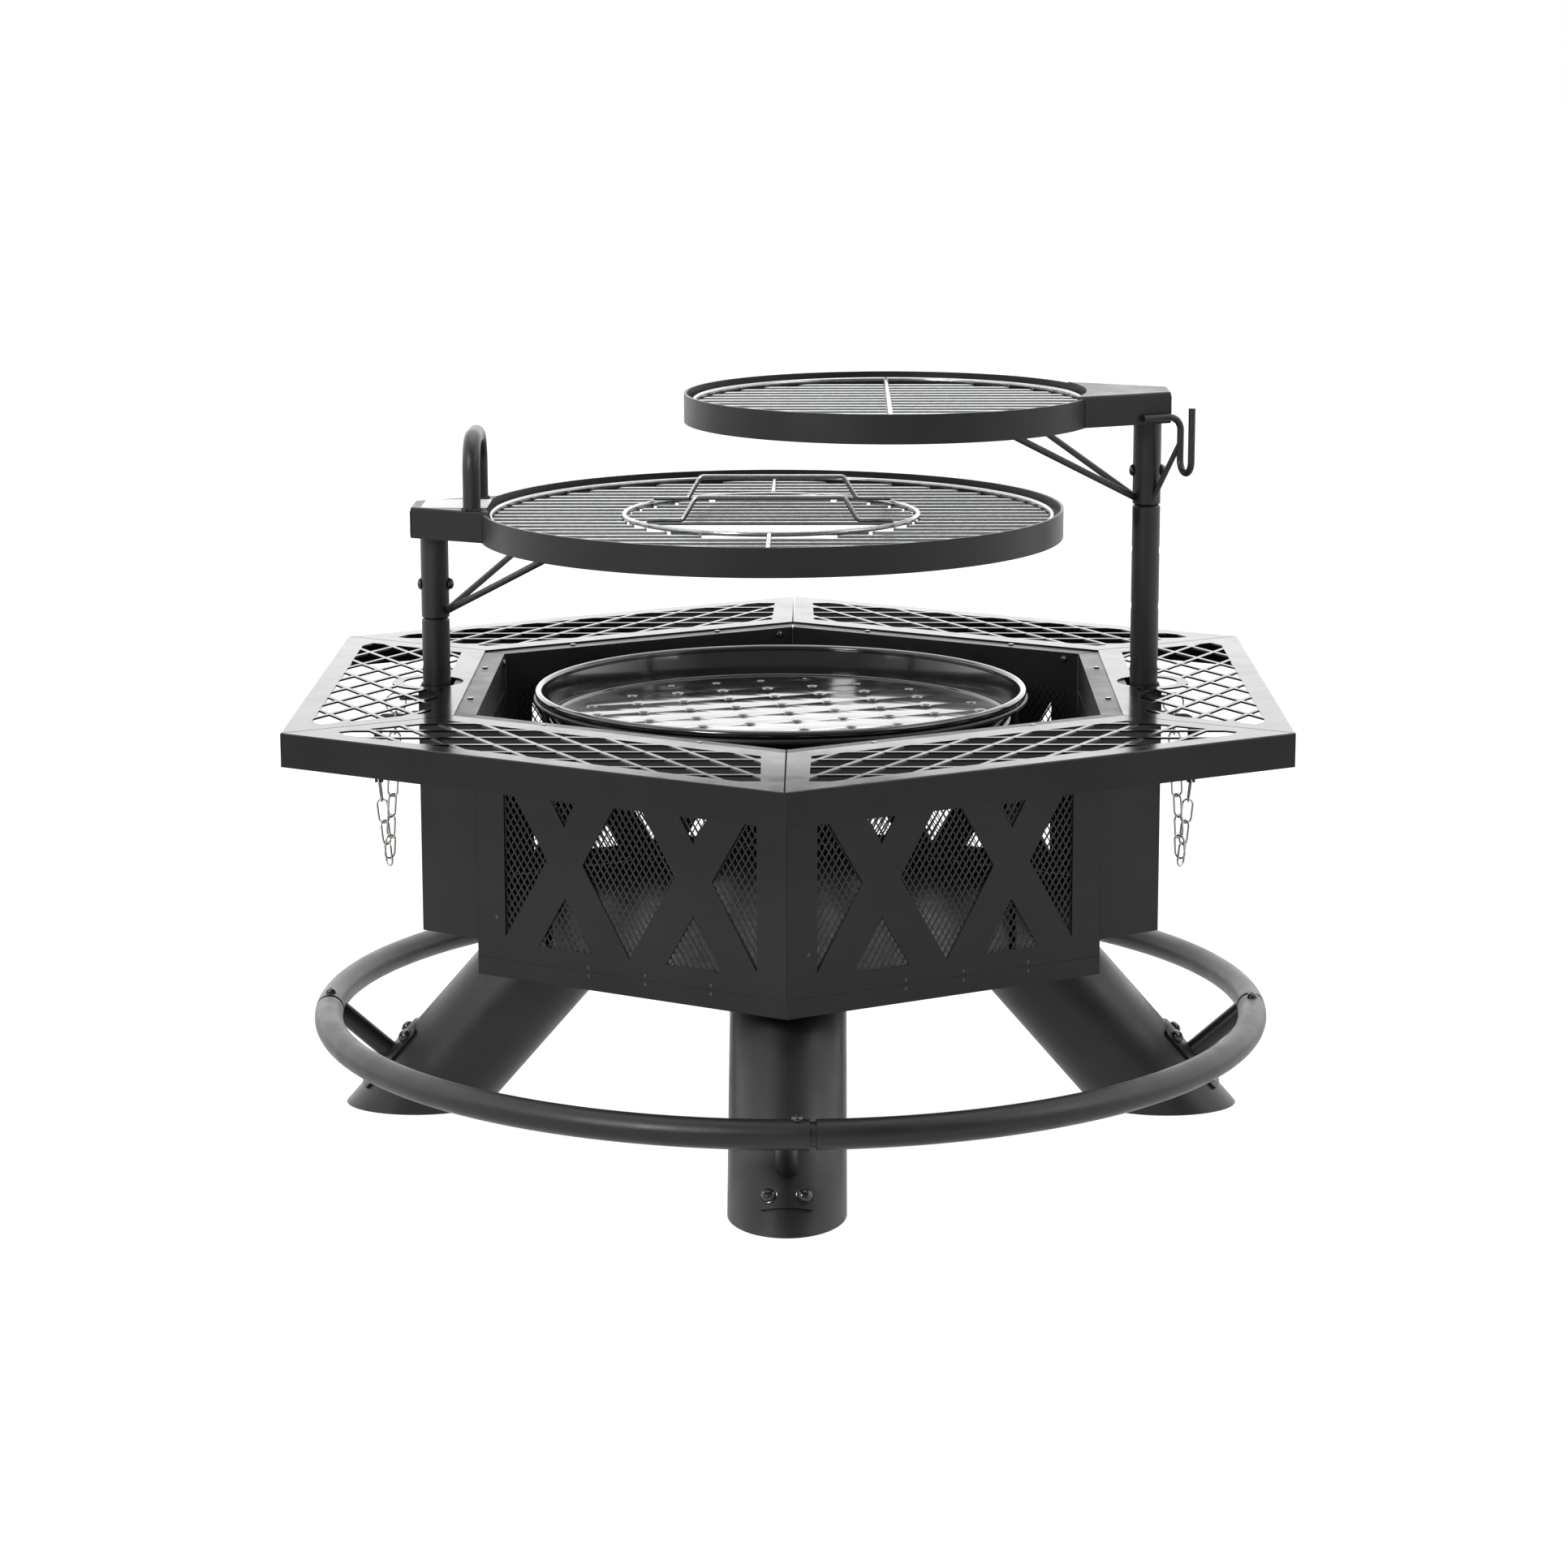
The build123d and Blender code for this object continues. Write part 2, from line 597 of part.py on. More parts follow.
# ---------------------------------------------------------------- posts and sleeves
NECK_RADIUS = POST_RADIUS - POST_WALL - CLEAR
NECK_LENGTH = 95.0
HOLE_RADIUS = 5.6
SLEEVE_SCREW_HEIGHT = 36.0
SLEEVE_SCREW_RADIUS = 3.5
SLEEVE_HEAD_RADIUS = 6.5
SLEEVE_HEAD_HEIGHT = 6.0


def post(x, sleeve_bottom, length):
    """Tube with a reduced neck that the sleeve turns on, and adjusting holes below it."""
    bottom = sleeve_bottom - length
    with BuildPart() as tube:
        with BuildSketch(Plane.XZ.offset(0)):
            with BuildLine():
                top = sleeve_bottom - CLEAR
                Polyline(
                    (x, bottom),
                    (x + POST_RADIUS, bottom),
                    (x + POST_RADIUS, top - 3),
                    (x + NECK_RADIUS, top),
                    (x + NECK_RADIUS, top + NECK_LENGTH),
                    (x, top + NECK_LENGTH),
                    close=True,
                )
            make_face()
        revolve(axis=Axis((x, 0, 0), (0, 0, 1)))
        with Locations((x, 0, bottom)):
            Cylinder(
                NECK_RADIUS - 2.0,
                length + NECK_LENGTH + 1,
                align=(Align.CENTER, Align.CENTER, Align.MIN),
                mode=Mode.SUBTRACT,
            )
        holes = int((length - FIRST_HOLE - 15) // HOLE_PITCH) + 1
        levels = [sleeve_bottom - FIRST_HOLE - k * HOLE_PITCH for k in range(holes)]
        with Locations(*[(x, 0, z) for z in levels]):
            Cylinder(HOLE_RADIUS, 3 * POST_RADIUS, rotation=(0, 90, 0), mode=Mode.SUBTRACT)
    return tube


def sleeve(x, bottom):
    """Short tube of an arm that turns on the neck of the post."""
    with BuildPart() as tube:
        with BuildSketch(Plane.XY.offset(bottom)):
            with Locations((x, 0)):
                Circle(POST_RADIUS)
                Circle(POST_RADIUS - POST_WALL, mode=Mode.SUBTRACT)
        extrude(amount=SLEEVE_LENGTH)
        with Locations((x, 0, bottom + SLEEVE_SCREW_HEIGHT)):
            Cylinder(SLEEVE_SCREW_RADIUS + 0.2, 3 * POST_RADIUS, rotation=(0, 90, 0), mode=Mode.SUBTRACT)
    return tube


def sleeve_screws(x, bottom):
    """The pair of clamping screws through the wall of a sleeve."""
    with BuildPart() as screws:
        for side in (-1, 1):
            face = Plane(
                origin=(x + side * (NECK_RADIUS + 0.5), 0, bottom + SLEEVE_SCREW_HEIGHT),
                x_dir=(0, 1, 0),
                z_dir=(side, 0, 0),
            )
            with BuildSketch(face):
                Circle(SLEEVE_SCREW_RADIUS)
            extrude(amount=POST_WALL + 1.5)
            with BuildSketch(face.offset(POST_WALL + 0.9)):
                RegularPolygon(SLEEVE_HEAD_RADIUS, 6)
            extrude(amount=SLEEVE_HEAD_HEIGHT)
    return screws


# ---------------------------------------------------------------- arms and bands
ARM_SHEET = 2.5
ARM_END = 22.5
ARM_END_HALF = 28.0
ARM_SPREAD = 0.5
ARM_BAND_LAP = 7.5
BRACE_RADIUS = 3.6
BRACE_RISE = 7.0
BAND_TAB_WIDTH = 30.0
BAND_TAB_DEPTH = 15.0
BAND_TAB_SHEET = 2.0


def arm(x, centre_x, band_radius, band_top):
    """Folded channel from the sleeve to the band, open below."""
    toward = 1 if centre_x > x else -1
    reach = abs(centre_x - x)
    far = reach - band_radius + 70.0
    far_half = ARM_END_HALF + ARM_SPREAD * (far + ARM_END)
    plane = Plane(origin=(x, 0, band_top - BAND_HEIGHT), x_dir=(toward, 0, 0), z_dir=(0, 0, 1))

    def outline(inset):
        return [
            (-ARM_END + inset, -ARM_END_HALF + inset),
            (far, -far_half + inset),
            (far, far_half - inset),
            (-ARM_END + inset, ARM_END_HALF - inset),
        ]

    with BuildPart() as channel:
        with BuildSketch(plane):
            with BuildLine():
                Polyline(*outline(0), close=True)
            make_face()
            with Locations((reach, 0)):
                Circle(band_radius + 0.05, mode=Mode.SUBTRACT)
        extrude(amount=BAND_HEIGHT)
        with BuildSketch(plane.offset(BAND_HEIGHT + 0.05)):
            with BuildLine():
                Polyline(*outline(0), close=True)
            make_face()
            with Locations((reach, 0)):
                Circle(band_radius - ARM_BAND_LAP, mode=Mode.SUBTRACT)
        extrude(amount=ARM_SHEET)
        with BuildSketch(plane.offset(BAND_HEIGHT)):
            with BuildLine():
                Polyline(*outline(0), close=True)
            make_face()
            with Locations((reach, 0)):
                Circle(band_radius + 0.05, mode=Mode.SUBTRACT)
        extrude(amount=0.1)
        with BuildSketch(plane):
            with BuildLine():
                Polyline(*outline(ARM_SHEET), close=True)
            make_face()
        extrude(amount=BAND_HEIGHT, mode=Mode.SUBTRACT)
        edges = channel.edges().group_by(Axis.Z)[-1].filter_by(GeomType.LINE)
        fillet(edges, 2.2)
    return channel


def band(centre_x, radius, top):
    """Flat ring that holds a grate on four tabs."""
    with BuildPart() as ring:
        with BuildSketch(Plane.XY.offset(top - BAND_HEIGHT)):
            with Locations((centre_x, 0)):
                Circle(radius)
                Circle(radius - BAND_SHEET, mode=Mode.SUBTRACT)
        extrude(amount=BAND_HEIGHT)
        with BuildSketch(Plane.XY.offset(grate_level(top) - BAR_RADIUS - CLEAR - BAND_TAB_SHEET)):
            with Locations(Location((centre_x, 0, 0))):
                with PolarLocations(radius - BAND_SHEET - BAND_TAB_DEPTH / 2 + 0.5, 4, start_angle=45):
                    Rectangle(BAND_TAB_DEPTH + 1, BAND_TAB_WIDTH)
        extrude(amount=BAND_TAB_SHEET)
    return ring


def rod_between(start, end, radius):
    """Straight round rod added to the part in progress."""
    a = Vector(*start)
    b = Vector(*end)
    with BuildSketch(Plane(origin=a, z_dir=b - a)) as section:
        Circle(radius)
    extrude(to_extrude=section.sketch, amount=(b - a).length)


def braces(x, centre_x, band_radius, sleeve_bottom, band_top, spread):
    """Two rods from the foot of the sleeve to the underside of the band."""
    toward = 1 if centre_x > x else -1
    middle = band_radius - BAND_SHEET / 2
    end_x = centre_x - toward * sqrt(middle**2 - spread**2)
    under = band_top - BAND_HEIGHT
    with BuildPart() as rods:
        for side in (-1, 1):
            start = (x + toward * 13.5, side * 5.5, sleeve_bottom + BRACE_RISE)
            rod_between(start, (end_x, side * spread, under + 3), BRACE_RADIUS)
        with BuildSketch(Plane.XY.offset(under)):
            with Locations((centre_x, 0)):
                Circle(band_radius + 40)
        extrude(amount=20, mode=Mode.SUBTRACT)
        with Locations((x, 0, sleeve_bottom)):
            Cylinder(POST_RADIUS + 0.05, 80, mode=Mode.SUBTRACT)
    return rods


# ---------------------------------------------------------------- grates
BAR_RADIUS = 2.25
RIM_WIRE_RADIUS = 2.75
GRATE_DROP = 13.5
WIRE_GAP = 0.05
BAND_TO_RIM_WIRE = 12.0
BAR_PITCH = 26.0
HOLE_WIRE_RADIUS = 2.5
HOLE_RADIUS_LOWER = 164.5
INSERT_RING_RADIUS = 159.5
INSERT_BAR_END = 156.8
LOWER_BAR_START = 160.0
INSERT_HANDLE_Y = 88.0
INSERT_HANDLE_RISE = 24.0
INSERT_HANDLE_TOP_HALF = 79.0
INSERT_HANDLE_FOOT_HALF = 93.0
INSERT_HANDLE_END_HALF = 131.0
INSERT_FRONT_BAR = -117.0


def grate_level(band_top):
    """Height of the bar axes in a band."""
    return band_top - GRATE_DROP


def bar(x0, x1, y, z):
    """Round bar along X added to the part in progress."""
    with Locations(((x0 + x1) / 2, y, z)):
        Cylinder(BAR_RADIUS, x1 - x0, rotation=(0, 90, 0))


def wire_ring(centre_x, radius, z, wire):
    with Locations((centre_x, 0, z)):
        Torus(radius, wire)


with BuildPart() as lower_grate:
    level = grate_level(LEFT_BAND_TOP)
    rim = LOWER_BAND_RADIUS - BAND_TO_RIM_WIRE
    over = BAR_RADIUS + RIM_WIRE_RADIUS + WIRE_GAP
    for k in range(-12, 12):
        y = (k + 0.5) * BAR_PITCH
        if abs(y) > rim:
            continue
        end = sqrt(rim**2 - y**2)
        if abs(y) > LOWER_BAR_START:
            bar(LOWER_CENTRE_X - end, LOWER_CENTRE_X + end, y, level)
            continue
        start = sqrt(LOWER_BAR_START**2 - y**2)
        bar(LOWER_CENTRE_X - end, LOWER_CENTRE_X - start, y, level)
        bar(LOWER_CENTRE_X + start, LOWER_CENTRE_X + end, y, level)
    wire_ring(LOWER_CENTRE_X, rim, level + over, RIM_WIRE_RADIUS)
    under = BAR_RADIUS + HOLE_WIRE_RADIUS + WIRE_GAP
    wire_ring(LOWER_CENTRE_X, HOLE_RADIUS_LOWER, level - under, HOLE_WIRE_RADIUS)
    span = rim - HOLE_RADIUS_LOWER - 2 * RIM_WIRE_RADIUS - 2
    for side in (-1, 1):
        with Locations((LOWER_CENTRE_X, side * (rim + HOLE_RADIUS_LOWER) / 2, level + over)):
            Cylinder(RIM_WIRE_RADIUS, span, rotation=(90, 0, 0))
write(lower_grate, "lower_grate")

with BuildPart() as grate_insert:
    level = grate_level(LEFT_BAND_TOP)
    ring_level = level + BAR_RADIUS + RIM_WIRE_RADIUS + WIRE_GAP
    for k in range(-2, 6):
        y = (k + 0.5) * BAR_PITCH
        end = sqrt(INSERT_BAR_END**2 - y**2)
        bar(LOWER_CENTRE_X - end, LOWER_CENTRE_X + end, y, level)
    end = sqrt(INSERT_BAR_END**2 - INSERT_FRONT_BAR**2)
    bar(LOWER_CENTRE_X - end, LOWER_CENTRE_X + end, INSERT_FRONT_BAR, level)
    wire_ring(LOWER_CENTRE_X, INSERT_RING_RADIUS, ring_level, RIM_WIRE_RADIUS)
    foot = ring_level + RIM_WIRE_RADIUS + HOLE_WIRE_RADIUS + WIRE_GAP
    for side in (-1, 1):
        y = side * INSERT_HANDLE_Y
        with BuildLine() as handle:
            FilletPolyline(
                (LOWER_CENTRE_X - INSERT_HANDLE_END_HALF, y, foot),
                (LOWER_CENTRE_X - INSERT_HANDLE_FOOT_HALF, y, foot),
                (LOWER_CENTRE_X - INSERT_HANDLE_TOP_HALF, y, foot + INSERT_HANDLE_RISE),
                (LOWER_CENTRE_X + INSERT_HANDLE_TOP_HALF, y, foot + INSERT_HANDLE_RISE),
                (LOWER_CENTRE_X + INSERT_HANDLE_FOOT_HALF, y, foot),
                (LOWER_CENTRE_X + INSERT_HANDLE_END_HALF, y, foot),
                radius=6,
            )
        with BuildSketch(Plane(origin=handle.line @ 0, z_dir=handle.line % 0)):
            Circle(HOLE_WIRE_RADIUS)
        sweep(path=handle.line)
write(grate_insert, "grate_insert")

UPPER_PITCH = 26.5

with BuildPart() as upper_grate:
    level = grate_level(RIGHT_BAND_TOP)
    rim = UPPER_BAND_RADIUS - 11.0
    over = BAR_RADIUS + RIM_WIRE_RADIUS + WIRE_GAP
    for k in range(-7, 8):
        y = k * UPPER_PITCH
        end = sqrt(rim**2 - y**2)
        bar(UPPER_CENTRE_X - end, UPPER_CENTRE_X + end, y, level)
    wire_ring(UPPER_CENTRE_X, rim, level + over, RIM_WIRE_RADIUS)
    with Locations((UPPER_CENTRE_X, 0, level + over)):
        Cylinder(RIM_WIRE_RADIUS, 2 * (rim - RIM_WIRE_RADIUS - 0.5), rotation=(90, 0, 0))
write(upper_grate, "upper_grate")

# ---------------------------------------------------------------- left and right sides
SIDES = {
    "left": (-POST_OFFSET, LEFT_SLEEVE_BOTTOM, LEFT_POST_LENGTH, 180),
    "right": (POST_OFFSET, RIGHT_SLEEVE_BOTTOM, RIGHT_POST_LENGTH, 0),
}
BANDS = {
    "left": (LOWER_CENTRE_X, LOWER_BAND_RADIUS, LEFT_BAND_TOP, 213.0, "lower_band"),
    "right": (UPPER_CENTRE_X, UPPER_BAND_RADIUS, RIGHT_BAND_TOP, 178.0, "upper_band"),
}
def lock_pin(leg_x):
    """Bent round pin; its level leg enters the post and its drop leg carries the chain."""
    side = 1 if leg_x > 0 else -1
    bottom = PIN_HEIGHT - PIN_DROP
    with BuildPart() as pin:
        with BuildLine() as route:
            FilletPolyline(
                (side * PIN_TIP, 0, PIN_HEIGHT),
                (leg_x, 0, PIN_HEIGHT),
                (leg_x, 0, bottom),
                radius=PIN_BEND,
            )
        with BuildSketch(Plane(origin=route.line @ 0, z_dir=route.line % 0)):
            Circle(PIN_RADIUS)
        sweep(path=route.line)
        for y in (-PIN_RADIUS, PIN_RADIUS):
            with Locations((leg_x, y, bottom)):
                Box(3 * PIN_RADIUS, 2 * PIN_RADIUS - PIN_TANG, 24, mode=Mode.SUBTRACT)
        with Locations((leg_x, 0, bottom + PIN_EYE_RISE)):
            Cylinder(PIN_EYE_RADIUS, 20, rotation=(90, 0, 0), mode=Mode.SUBTRACT)
    return pin


def chain_link(centre, along, across):
    """One welded link of round wire about a centre, long and wide in the given directions."""
    plane = Plane(origin=centre, x_dir=along, z_dir=along.cross(across))
    half = (LINK_LENGTH - LINK_WIDTH) / 2
    bend = LINK_WIDTH / 2 - LINK_WIRE
    start = plane.from_local_coords((0, bend, 0))
    heading = plane.from_local_coords((1, bend, 0)) - start
    with BuildLine(plane) as path:
        Line((0, bend), (half, bend))
        CenterArc((half, 0), bend, 90, -180)
        Line((half, -bend), (-half, -bend))
        CenterArc((-half, 0), bend, -90, -180)
        Line((-half, bend), (0, bend))
    with BuildSketch(Plane(origin=start, z_dir=heading)) as section:
        Circle(LINK_WIRE)
    sweep(sections=section.sketch, path=path.line)


def strand(start, finish, count, side, twist):
    """Interlocked links from a start point toward a finish point, twisting steadily."""
    end = LINK_LENGTH / 2 - LINK_WIRE
    down = (finish - start).normalized()
    for k in range(count):
        turn = radians(90 + 90 * k + twist * k / (count - 1))
        across = Vector(side * cos(turn), sin(turn), 0)
        across = (across - down * across.dot(down)).normalized()
        chain_link(start + down * (end + k * LINK_PITCH), down, across)


def chain(leg_x):
    """Ring and the links that hang from it and rise again to the pin."""
    side = 1 if leg_x > 0 else -1
    ring_x = leg_x - side * CHAIN_RING_INSET
    twist = degrees(atan2(CHAIN_RING_OFFSET, CHAIN_RING_INSET))
    hang = CHAIN_RING_HEIGHT - CHAIN_RING_RADIUS + CHAIN_RING_WIRE + LINK_WIRE + 0.2
    turn_x = leg_x - side * CHAIN_TURN[0]
    with BuildPart() as links:
        with Locations((ring_x, -CHAIN_RING_OFFSET, CHAIN_RING_HEIGHT)):
            Torus(CHAIN_RING_RADIUS, CHAIN_RING_WIRE, rotation=(90, 0, 0))
        top = Vector(ring_x, -CHAIN_RING_OFFSET, hang)
        turn = Vector(turn_x, -CHAIN_TURN[1], hang - CHAIN_LONG_LINKS * LINK_PITCH)
        strand(top, turn, CHAIN_LONG_LINKS, side, twist)
        eye = Vector(leg_x, 0, PIN_HEIGHT - PIN_DROP + PIN_EYE_RISE - PIN_EYE_PLAY)
        turn = Vector(turn_x, -CHAIN_TURN[1], eye.Z - CHAIN_SHORT_LINKS * LINK_PITCH)
        strand(eye, turn, CHAIN_SHORT_LINKS, side, twist)
    return links


for name, (x, sleeve_bottom, length, azimuth) in SIDES.items():
    centre_x, band_radius, band_top, spread, band_name = BANDS[name]
    housing = post_housing(azimuth, PIN_LEG[name])
    write(housing, f"post_housing_{name}")
    guides = post_guides(azimuth)
    write(guides, f"post_guides_{name}")
    tube = post(x, sleeve_bottom, length)
    write(tube, f"{name}_post")
    tube = sleeve(x, sleeve_bottom)
    write(tube, f"{name}_sleeve")
    screws = sleeve_screws(x, sleeve_bottom)
    write(screws, f"{name}_sleeve_screws")
    channel = arm(x, centre_x, band_radius, band_top)
    write(channel, f"{name}_arm")
    ring = band(centre_x, band_radius, band_top)
    write(ring, band_name)
    rods = braces(x, centre_x, band_radius, sleeve_bottom, band_top, spread)
    write(rods, f"{name}_braces")
    pin = lock_pin(PIN_LEG[name])
    write(pin, f"{name}_lock_pin")
    links = chain(PIN_LEG[name])
    write(links, f"{name}_chain")

# ---------------------------------------------------------------- grip and tool hook
GRIP_X = -341.0
GRIP_HALF = 50.0
GRIP_RADIUS = 9.5
GRIP_HEIGHT = 84.0
GRIP_BEND = 34.0
ARM_TOP_LEFT = LEFT_BAND_TOP + ARM_SHEET + 0.1

with BuildPart() as grip_handle:
    with BuildLine() as hoop:
        FilletPolyline(
            (GRIP_X, -GRIP_HALF, ARM_TOP_LEFT),
            (GRIP_X, -GRIP_HALF, ARM_TOP_LEFT + GRIP_HEIGHT - GRIP_RADIUS),
            (GRIP_X, GRIP_HALF, ARM_TOP_LEFT + GRIP_HEIGHT - GRIP_RADIUS),
            (GRIP_X, GRIP_HALF, ARM_TOP_LEFT),
            radius=GRIP_BEND,
        )
    with BuildSketch(Plane(origin=hoop.line @ 0, z_dir=hoop.line % 0)):
        Circle(GRIP_RADIUS)
    sweep(path=hoop.line)
write(grip_handle, "grip_handle")

HOOK_RADIUS = 3.75
HOOK_TOP = RIGHT_BAND_TOP - 24.0
HOOK_X = 420.0
HOOK_Y = -31.0
HOOK_DROP = 45.0
HOOK_THROAT = 28.0
HOOK_THROAT_TURN = radians(-70)
ARM_SIDE_SLOPE = 0.5
HOOK_START_U = 8.0
HOOK_START = (
    POST_OFFSET - HOOK_START_U,
    -(ARM_END_HALF + ARM_SPREAD * (HOOK_START_U + ARM_END)) - HOOK_RADIUS * 1.12 - 0.05,
    HOOK_TOP,
)

with BuildPart() as tool_hook:
    low = HOOK_TOP - HOOK_DROP
    tip = (
        HOOK_X + HOOK_THROAT * cos(HOOK_THROAT_TURN),
        HOOK_Y + HOOK_THROAT * sin(HOOK_THROAT_TURN),
    )
    with BuildLine() as rod:
        FilletPolyline(
            HOOK_START,
            (HOOK_X, HOOK_Y, HOOK_TOP),
            (HOOK_X, HOOK_Y, low - HOOK_THROAT / 2),
            (tip[0], tip[1], low - HOOK_THROAT / 2),
            (tip[0], tip[1], HOOK_TOP + 12),
            radius=HOOK_THROAT / 2 - 0.2,
        )
    with BuildSketch(Plane(origin=rod.line @ 0, z_dir=rod.line % 0)):
        Circle(HOOK_RADIUS)
    sweep(path=rod.line)
    brace_top = (HOOK_X, HOOK_Y + HOOK_RADIUS + 2.4, low + 16)
    rod_between((POST_OFFSET + 6, -12, RIGHT_SLEEVE_BOTTOM + 6), brace_top, 3.0)
    with Locations((POST_OFFSET, 0, RIGHT_SLEEVE_BOTTOM)):
        Cylinder(POST_RADIUS + 0.05, 80, mode=Mode.SUBTRACT)
write(tool_hook, "tool_hook")

# ---------------------------------------------------------------- fire pan and its stand
PAN_FLOOR = PAN_RIM_HEIGHT - PAN_DEPTH
RIM_BEAD = 4.0
PAN_HOLE_RADIUS = 3.6
PAN_HOLE_START = (9.0, 13.0)
PAN_HOLE_STEPS = ((8.6, -49.8), (50.5, 15.5))
PAN_HOLE_LIMIT = PAN_FLOOR_RADIUS - 18.0


def drain_holes():
    """Centres of the drain holes, measured from the middle of the pan."""
    (a, b), (c, d) = PAN_HOLE_STEPS
    reach = range(-6, 7)
    x, y = PAN_HOLE_START
    grid = [(x + i * a + j * c, y + i * b + j * d) for i in reach for j in reach]
    return [place for place in grid if hypot(*place) < PAN_HOLE_LIMIT]


with BuildPart() as fire_pan:
    bead_z = PAN_RIM_HEIGHT - RIM_BEAD
    wall_top = PAN_RIM_RADIUS - RIM_BEAD
    with BuildSketch(Plane((PAN_CENTRE_X, 0, 0), x_dir=(1, 0, 0), z_dir=(0, -1, 0))):
        with BuildLine():
            Polyline(
                (0, PAN_FLOOR),
                (PAN_FLOOR_RADIUS, PAN_FLOOR),
                (wall_top, bead_z),
                (wall_top - PAN_SHEET, bead_z),
                (PAN_FLOOR_RADIUS - PAN_SHEET, PAN_FLOOR + PAN_SHEET),
                (0, PAN_FLOOR + PAN_SHEET),
                close=True,
            )
        make_face()
        with Locations((PAN_RIM_RADIUS - RIM_BEAD / 2, bead_z)):
            Circle(RIM_BEAD)
    revolve(axis=Axis((PAN_CENTRE_X, 0, 0), (0, 0, 1)))
    with BuildSketch(Plane((PAN_CENTRE_X, 0, PAN_FLOOR))):
        with Locations(*drain_holes()):
            Circle(PAN_HOLE_RADIUS)
    extrude(amount=PAN_SHEET, mode=Mode.SUBTRACT)
write(fire_pan, "fire_pan")

STAND_TURN = 20.0
STAND_RING_WIRE = 3.0
STAND_RING_LEVEL = PAN_RIM_HEIGHT - 2 * RIM_BEAD - STAND_RING_WIRE - CLEAR

with BuildPart() as pan_stand:
    with Locations((PAN_CENTRE_X, 0, STAND_RING_LEVEL)):
        Torus(STAND_RADIUS + 2.0, STAND_RING_WIRE)
    for azimuth in (STAND_TURN, 180 - STAND_TURN, 180 + STAND_TURN, -STAND_TURN):
        a = radians(azimuth)
        r = STAND_RADIUS + 2.0
        with Locations((PAN_CENTRE_X + r * cos(a), r * sin(a), BODY_BOTTOM + BODY_SHEET)):
            Cylinder(
                STAND_ROD_RADIUS,
                STAND_RING_LEVEL - BODY_BOTTOM - BODY_SHEET,
                align=(Align.CENTER, Align.CENTER, Align.MIN),
            )
write(pan_stand, "pan_stand")
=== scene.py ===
"""Looks of the hexagonal fire pit: materials, wire and mesh details, light and camera."""

import json
import math
import random

import bmesh
import bpy
from mathutils import Matrix, Vector
from mathutils.geometry import delaunay_2d_cdt


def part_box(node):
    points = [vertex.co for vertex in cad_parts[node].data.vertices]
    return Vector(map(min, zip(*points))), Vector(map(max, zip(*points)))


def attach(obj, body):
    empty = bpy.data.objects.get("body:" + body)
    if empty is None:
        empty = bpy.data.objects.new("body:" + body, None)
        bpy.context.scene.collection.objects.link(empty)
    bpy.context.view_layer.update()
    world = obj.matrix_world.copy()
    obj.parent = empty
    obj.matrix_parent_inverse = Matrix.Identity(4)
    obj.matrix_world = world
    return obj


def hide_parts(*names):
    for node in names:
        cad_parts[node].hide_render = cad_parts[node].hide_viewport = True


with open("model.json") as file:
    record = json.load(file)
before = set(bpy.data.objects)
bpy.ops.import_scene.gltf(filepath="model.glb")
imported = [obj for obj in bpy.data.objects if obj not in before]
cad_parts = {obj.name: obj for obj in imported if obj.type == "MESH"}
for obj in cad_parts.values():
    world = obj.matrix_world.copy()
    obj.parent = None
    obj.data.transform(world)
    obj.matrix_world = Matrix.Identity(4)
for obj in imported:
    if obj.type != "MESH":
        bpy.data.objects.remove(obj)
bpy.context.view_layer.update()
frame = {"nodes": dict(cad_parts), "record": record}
nodes = frame["nodes"]

MM = 0.001


# ------------------------------------------------------------------ materials
def new_material(name, base, rough, metallic=0.0, **sockets):
    """A material with its Principled shader, whose plain values sit on the shader's own sockets."""
    mat = bpy.data.materials.new(name)
    mat.use_nodes = True
    shader = mat.node_tree.nodes["Principled BSDF"]
    shader.inputs["Base Color"].default_value = (*base, 1)
    shader.inputs["Roughness"].default_value = rough
    shader.inputs["Metallic"].default_value = metallic
    for key, value in sockets.items():
        shader.inputs[key.replace("_", " ")].default_value = value
    return mat, mat.node_tree.nodes, mat.node_tree.links, shader


def object_coordinates(tree_nodes):
    """The piece's own coordinates, in metres."""
    return tree_nodes.new("ShaderNodeTexCoord").outputs["Object"]


def noise(tree_nodes, links, vector, scale, detail, rough=0.55):
    """Grey noise with this many features per metre."""
    n = tree_nodes.new("ShaderNodeTexNoise")
    n.inputs["Scale"].default_value = scale
    n.inputs["Detail"].default_value = detail
    n.inputs["Roughness"].default_value = rough
    links.new(vector, n.inputs["Vector"])
    return n.outputs["Fac"]


def ramp(tree_nodes, links, value, low, high, low_at=0.3, high_at=0.7):
    """Colour ramp between two colours."""
    r = tree_nodes.new("ShaderNodeValToRGB")
    for element, at, colour in zip(r.color_ramp.elements, (low_at, high_at), (low, high)):
        element.position = at
        element.color = (*colour, 1)
    links.new(value, r.inputs["Fac"])
    return r.outputs["Color"]


def map_range(tree_nodes, links, value, low, high, from_low=0.3, from_high=0.7):
    """Spread the middle of a grey over a new range of numbers."""
    m = tree_nodes.new("ShaderNodeMapRange")
    m.inputs["From Min"].default_value = from_low
    m.inputs["From Max"].default_value = from_high
    m.inputs["To Min"].default_value = low
    m.inputs["To Max"].default_value = high
    links.new(value, m.inputs["Value"])
    return m.outputs["Result"]


